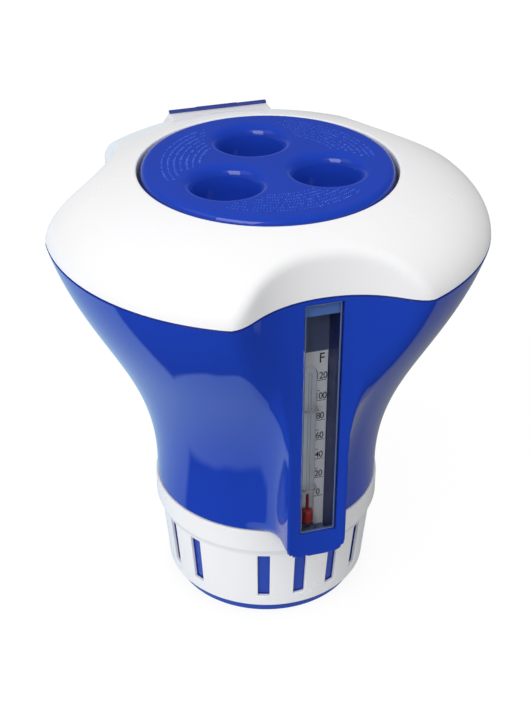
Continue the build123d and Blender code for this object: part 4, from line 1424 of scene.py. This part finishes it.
class DISPENSER_OT_cad_finishes(bpy.types.Operator):
    """Gives the pieces that keep their CAD shape their materials"""
    bl_idname = "dispenser.cad_finishes"
    bl_label = "Inner pieces"

    def execute(self, context):
        finishes = {
            "lid_seal": "rubber", "tube_top_seal": "rubber", "tube_foot_seal": "rubber",
            "tablet_tube": "natural", "tablet_grate": "natural", "ballast_ring": "ballast",
            "window_gasket": "slate", "glass_tube": "glass", "red_spirit": "spirit", "tube_clips": "metal",
        }
        for node, name in finishes.items():
            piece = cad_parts[node]
            piece.data.materials.clear()
            piece.data.materials.append(finish(context, name))
        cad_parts["glass_tube"].visible_shadow = False
        return {"FINISHED"}


# ---------------------------------------------------------------- studio
def along(place, direction):
    """How far a place lies in a level direction."""
    return place[0] * direction.x + place[1] * direction.y


def studio_world(scene):
    """White to the camera and through glass; in reflections a dim room with a pale horizon."""
    world = bpy.data.worlds.new("studio")
    scene.world = world
    world.use_nodes = True
    sky = Graph(world.node_tree)
    sky.tree.nodes.clear()
    rays = sky.outputs("ShaderNodeLightPath")
    facing = sky.split(sky.add("ShaderNodeTexCoord", output="Generated"))
    up, right, front = facing[2], along(facing, CAMERA_RIGHT), along(facing, CAMERA_SIDE)
    dim = up.remap(0.02, 0.30, 0.35, 0.13) * right.remap(-0.2, 0.7, 1.0, 0.4)
    band = up.remap(0.45, 0.60, 0.0, 0.6) * up.remap(0.78, 0.90, 1.0, 0.0)
    where = right.remap(-0.1, 0.25, 1.0, 0.0) * front.remap(-0.2, 0.1, 0.0, 1.0)
    around = right.remap(-0.6, 0.8, 0.84, 0.66) * front.remap(0.1, 0.9, 1.0, 1.42)
    soft = sky.add("ShaderNodeMix", {0: rays["Is Glossy Ray"], 2: around, 3: band * where + dim})
    direct = sky.maths("MAXIMUM", rays["Is Camera Ray"], rays["Is Transmission Ray"])
    level = sky.add("ShaderNodeMix", {0: direct, 2: soft, 3: 1.0})
    glow = sky.add("ShaderNodeBackground", {"Color": (1, 1, 1, 1), "Strength": level})
    sky.node("ShaderNodeOutputWorld", {"Surface": glow})


def floor_material(base):
    """Pale floor that keeps a soft shadow. Gloss sees it glow pale close by and behind, brighter and bluish to the
    left, dark elsewhere: a painted reflection. Light bounced off it is dimmed to the right: painted shade.
    """
    look = Look("studio_floor")
    surface = Value(look, look.surface.outputs[0])
    rays = look.outputs("ShaderNodeLightPath")
    plan = look.split(look.place)
    right, towards = along(plan, CAMERA_RIGHT), along(plan, CAMERA_SIDE)
    away = look.add("ShaderNodeVectorMath", {0: look.place}, "Value", operation="LENGTH")
    away = look.noise(look.place, 14.0, 1.0) * 0.02 + away
    # painted reflection: for gloss rays the floor glows pale round the foot and behind, up to 3.6 to the left
    pale = look.maths("MAXIMUM", away.remap(0.114, 0.119, 1.0, 0.0), towards.remap(0.028, 0.037, 1.0, 0.0))
    side = look.maths("MINIMUM", right.remap(-0.14, -0.04, 3.6, 0.85), right.remap(-0.03, 0.08, 0.85, 0.29))
    hue = look.mix(right.remap(0.0, 0.09, 0.0, 1.0), (0.56, 0.80, 1.0, 1.0), (0.90, 0.94, 0.90, 1.0))
    mirrored = look.add("ShaderNodeEmission", {"Color": hue, "Strength": pale * side + 0.03})
    white = look.add("ShaderNodeEmission", {"Strength": 1.04})
    shaded = look.add("ShaderNodeMixShader", {0: 0.84, 1: surface, 2: white})
    lit = look.add("ShaderNodeMixShader", {0: rays["Is Camera Ray"], 1: surface, 2: shaded})
    both = look.add("ShaderNodeMixShader", {0: rays["Is Glossy Ray"], 1: lit, 2: mirrored})
    look.fill(look.tree.nodes["Material Output"].inputs["Surface"], both)
    # painted shade: for bounced light the floor's colour falls to 0.3 to the right, darkening the hull's right flank
    dim = look.mix(right.remap(-0.02, 0.10, 0.0, 1.0), rgba(base), rgba(base, 0.3))
    return look.dress(look.mix(rays["Is Camera Ray"], dim, rgba(base)), 1.0, others={"Specular IOR Level": 0.0})


def add_lamp(name, place, target, size, watts, mirrored=False):
    """Square soft lamp, aimed at a point; gloss sees it only where asked."""
    data = bpy.data.lights.new(name, "AREA")
    data.size = size
    data.energy = watts
    lamp = linked(name, data)
    lamp.visible_glossy = mirrored
    lamp.location = place
    lamp.rotation_euler = (target - place).to_track_quat("-Z", "Y").to_euler()


class DISPENSER_OT_stage(bpy.types.Operator):
    """Makes the floor, the lamps, the world and the camera"""
    bl_idname = "dispenser.stage"
    bl_label = "Stage"

    def execute(self, context):
        scene = context.scene
        scene.view_settings.view_transform = "Standard"
        studio_world(scene)
        reach = 6.0
        mesh = bpy.data.meshes.new("floor")
        mesh.from_pydata([(-reach, -reach, 0), (reach, -reach, 0), (reach, reach, 0), (-reach, reach, 0)],
                         [], [(0, 1, 2, 3)])
        floor = linked("floor", mesh, floor_material(settings(context, "finish").floor))
        centre = Vector((0, 0, 0.15))
        add_lamp("window_lamp", centre + 0.95 * CAMERA_SIDE - 0.52 * CAMERA_RIGHT + Vector((0, 0, 0.92)), centre,
                 0.80, 6.8, mirrored=True)
        add_lamp("fill_lamp", centre + 0.3 * CAMERA_SIDE + 0.9 * CAMERA_RIGHT + Vector((0, 0, 1.1)), centre, 0.9, 2.2)
        add_lamp("rear_lamp", centre - 1.0 * CAMERA_SIDE + Vector((0, 0, 1.1)), centre, 1.0, 3.0)
        data = bpy.data.cameras.new("camera")
        data.sensor_width = 36.0
        data.lens = 71.73
        data.shift_x = -0.0022
        data.shift_y = 0.0487
        data.clip_start = 0.01
        camera = linked("camera", data)
        facing = (LOOK_AT - CAMERA_AT).to_track_quat("-Z", "Y").to_matrix().to_4x4()
        camera.matrix_world = Matrix.Translation(CAMERA_AT) @ facing @ Matrix.Rotation(CAMERA_ROLL, 4, "Z")
        scene.camera = camera
        return {"FINISHED"}


# ---------------------------------------------------------------- panel
STEPS = (DISPENSER_OT_hull, DISPENSER_OT_shell, DISPENSER_OT_seam, DISPENSER_OT_lid, DISPENSER_OT_grip_marks,
         DISPENSER_OT_sleeve, DISPENSER_OT_basket, DISPENSER_OT_base, DISPENSER_OT_thermometer,
         DISPENSER_OT_bracket, DISPENSER_OT_cad_finishes, DISPENSER_OT_stage)


class DISPENSER_PT_panel(bpy.types.Panel):
    """Lists the dispenser's pieces and their sizes"""
    bl_idname = "DISPENSER_PT_panel"
    bl_label = "Chlorine dispenser"
    bl_space_type = "VIEW_3D"
    bl_region_type = "UI"
    bl_category = "Dispenser"

    def draw(self, context):
        for step in STEPS:
            self.layout.operator(step.bl_idname)
        for group, kind in GROUPS.items():
            box = self.layout.box()
            box.label(text=group.capitalize())
            for name in kind.__annotations__:
                box.prop(settings(context, group), name)


def register():
    for kind in (*GROUPS.values(), *STEPS, DISPENSER_PT_panel):
        bpy.utils.register_class(kind)
    for group, kind in GROUPS.items():
        setattr(bpy.types.Scene, "dispenser_" + group, PointerProperty(type=kind))


def unregister():
    for group in GROUPS:
        delattr(bpy.types.Scene, "dispenser_" + group)
    for kind in (DISPENSER_PT_panel, *reversed(STEPS), *reversed(GROUPS.values())):
        bpy.utils.unregister_class(kind)


def main():
    register()
    for step in STEPS:
        family, name = step.bl_idname.split(".")
        getattr(getattr(bpy.ops, family), name)()


if __name__ == "__main__":
    main()
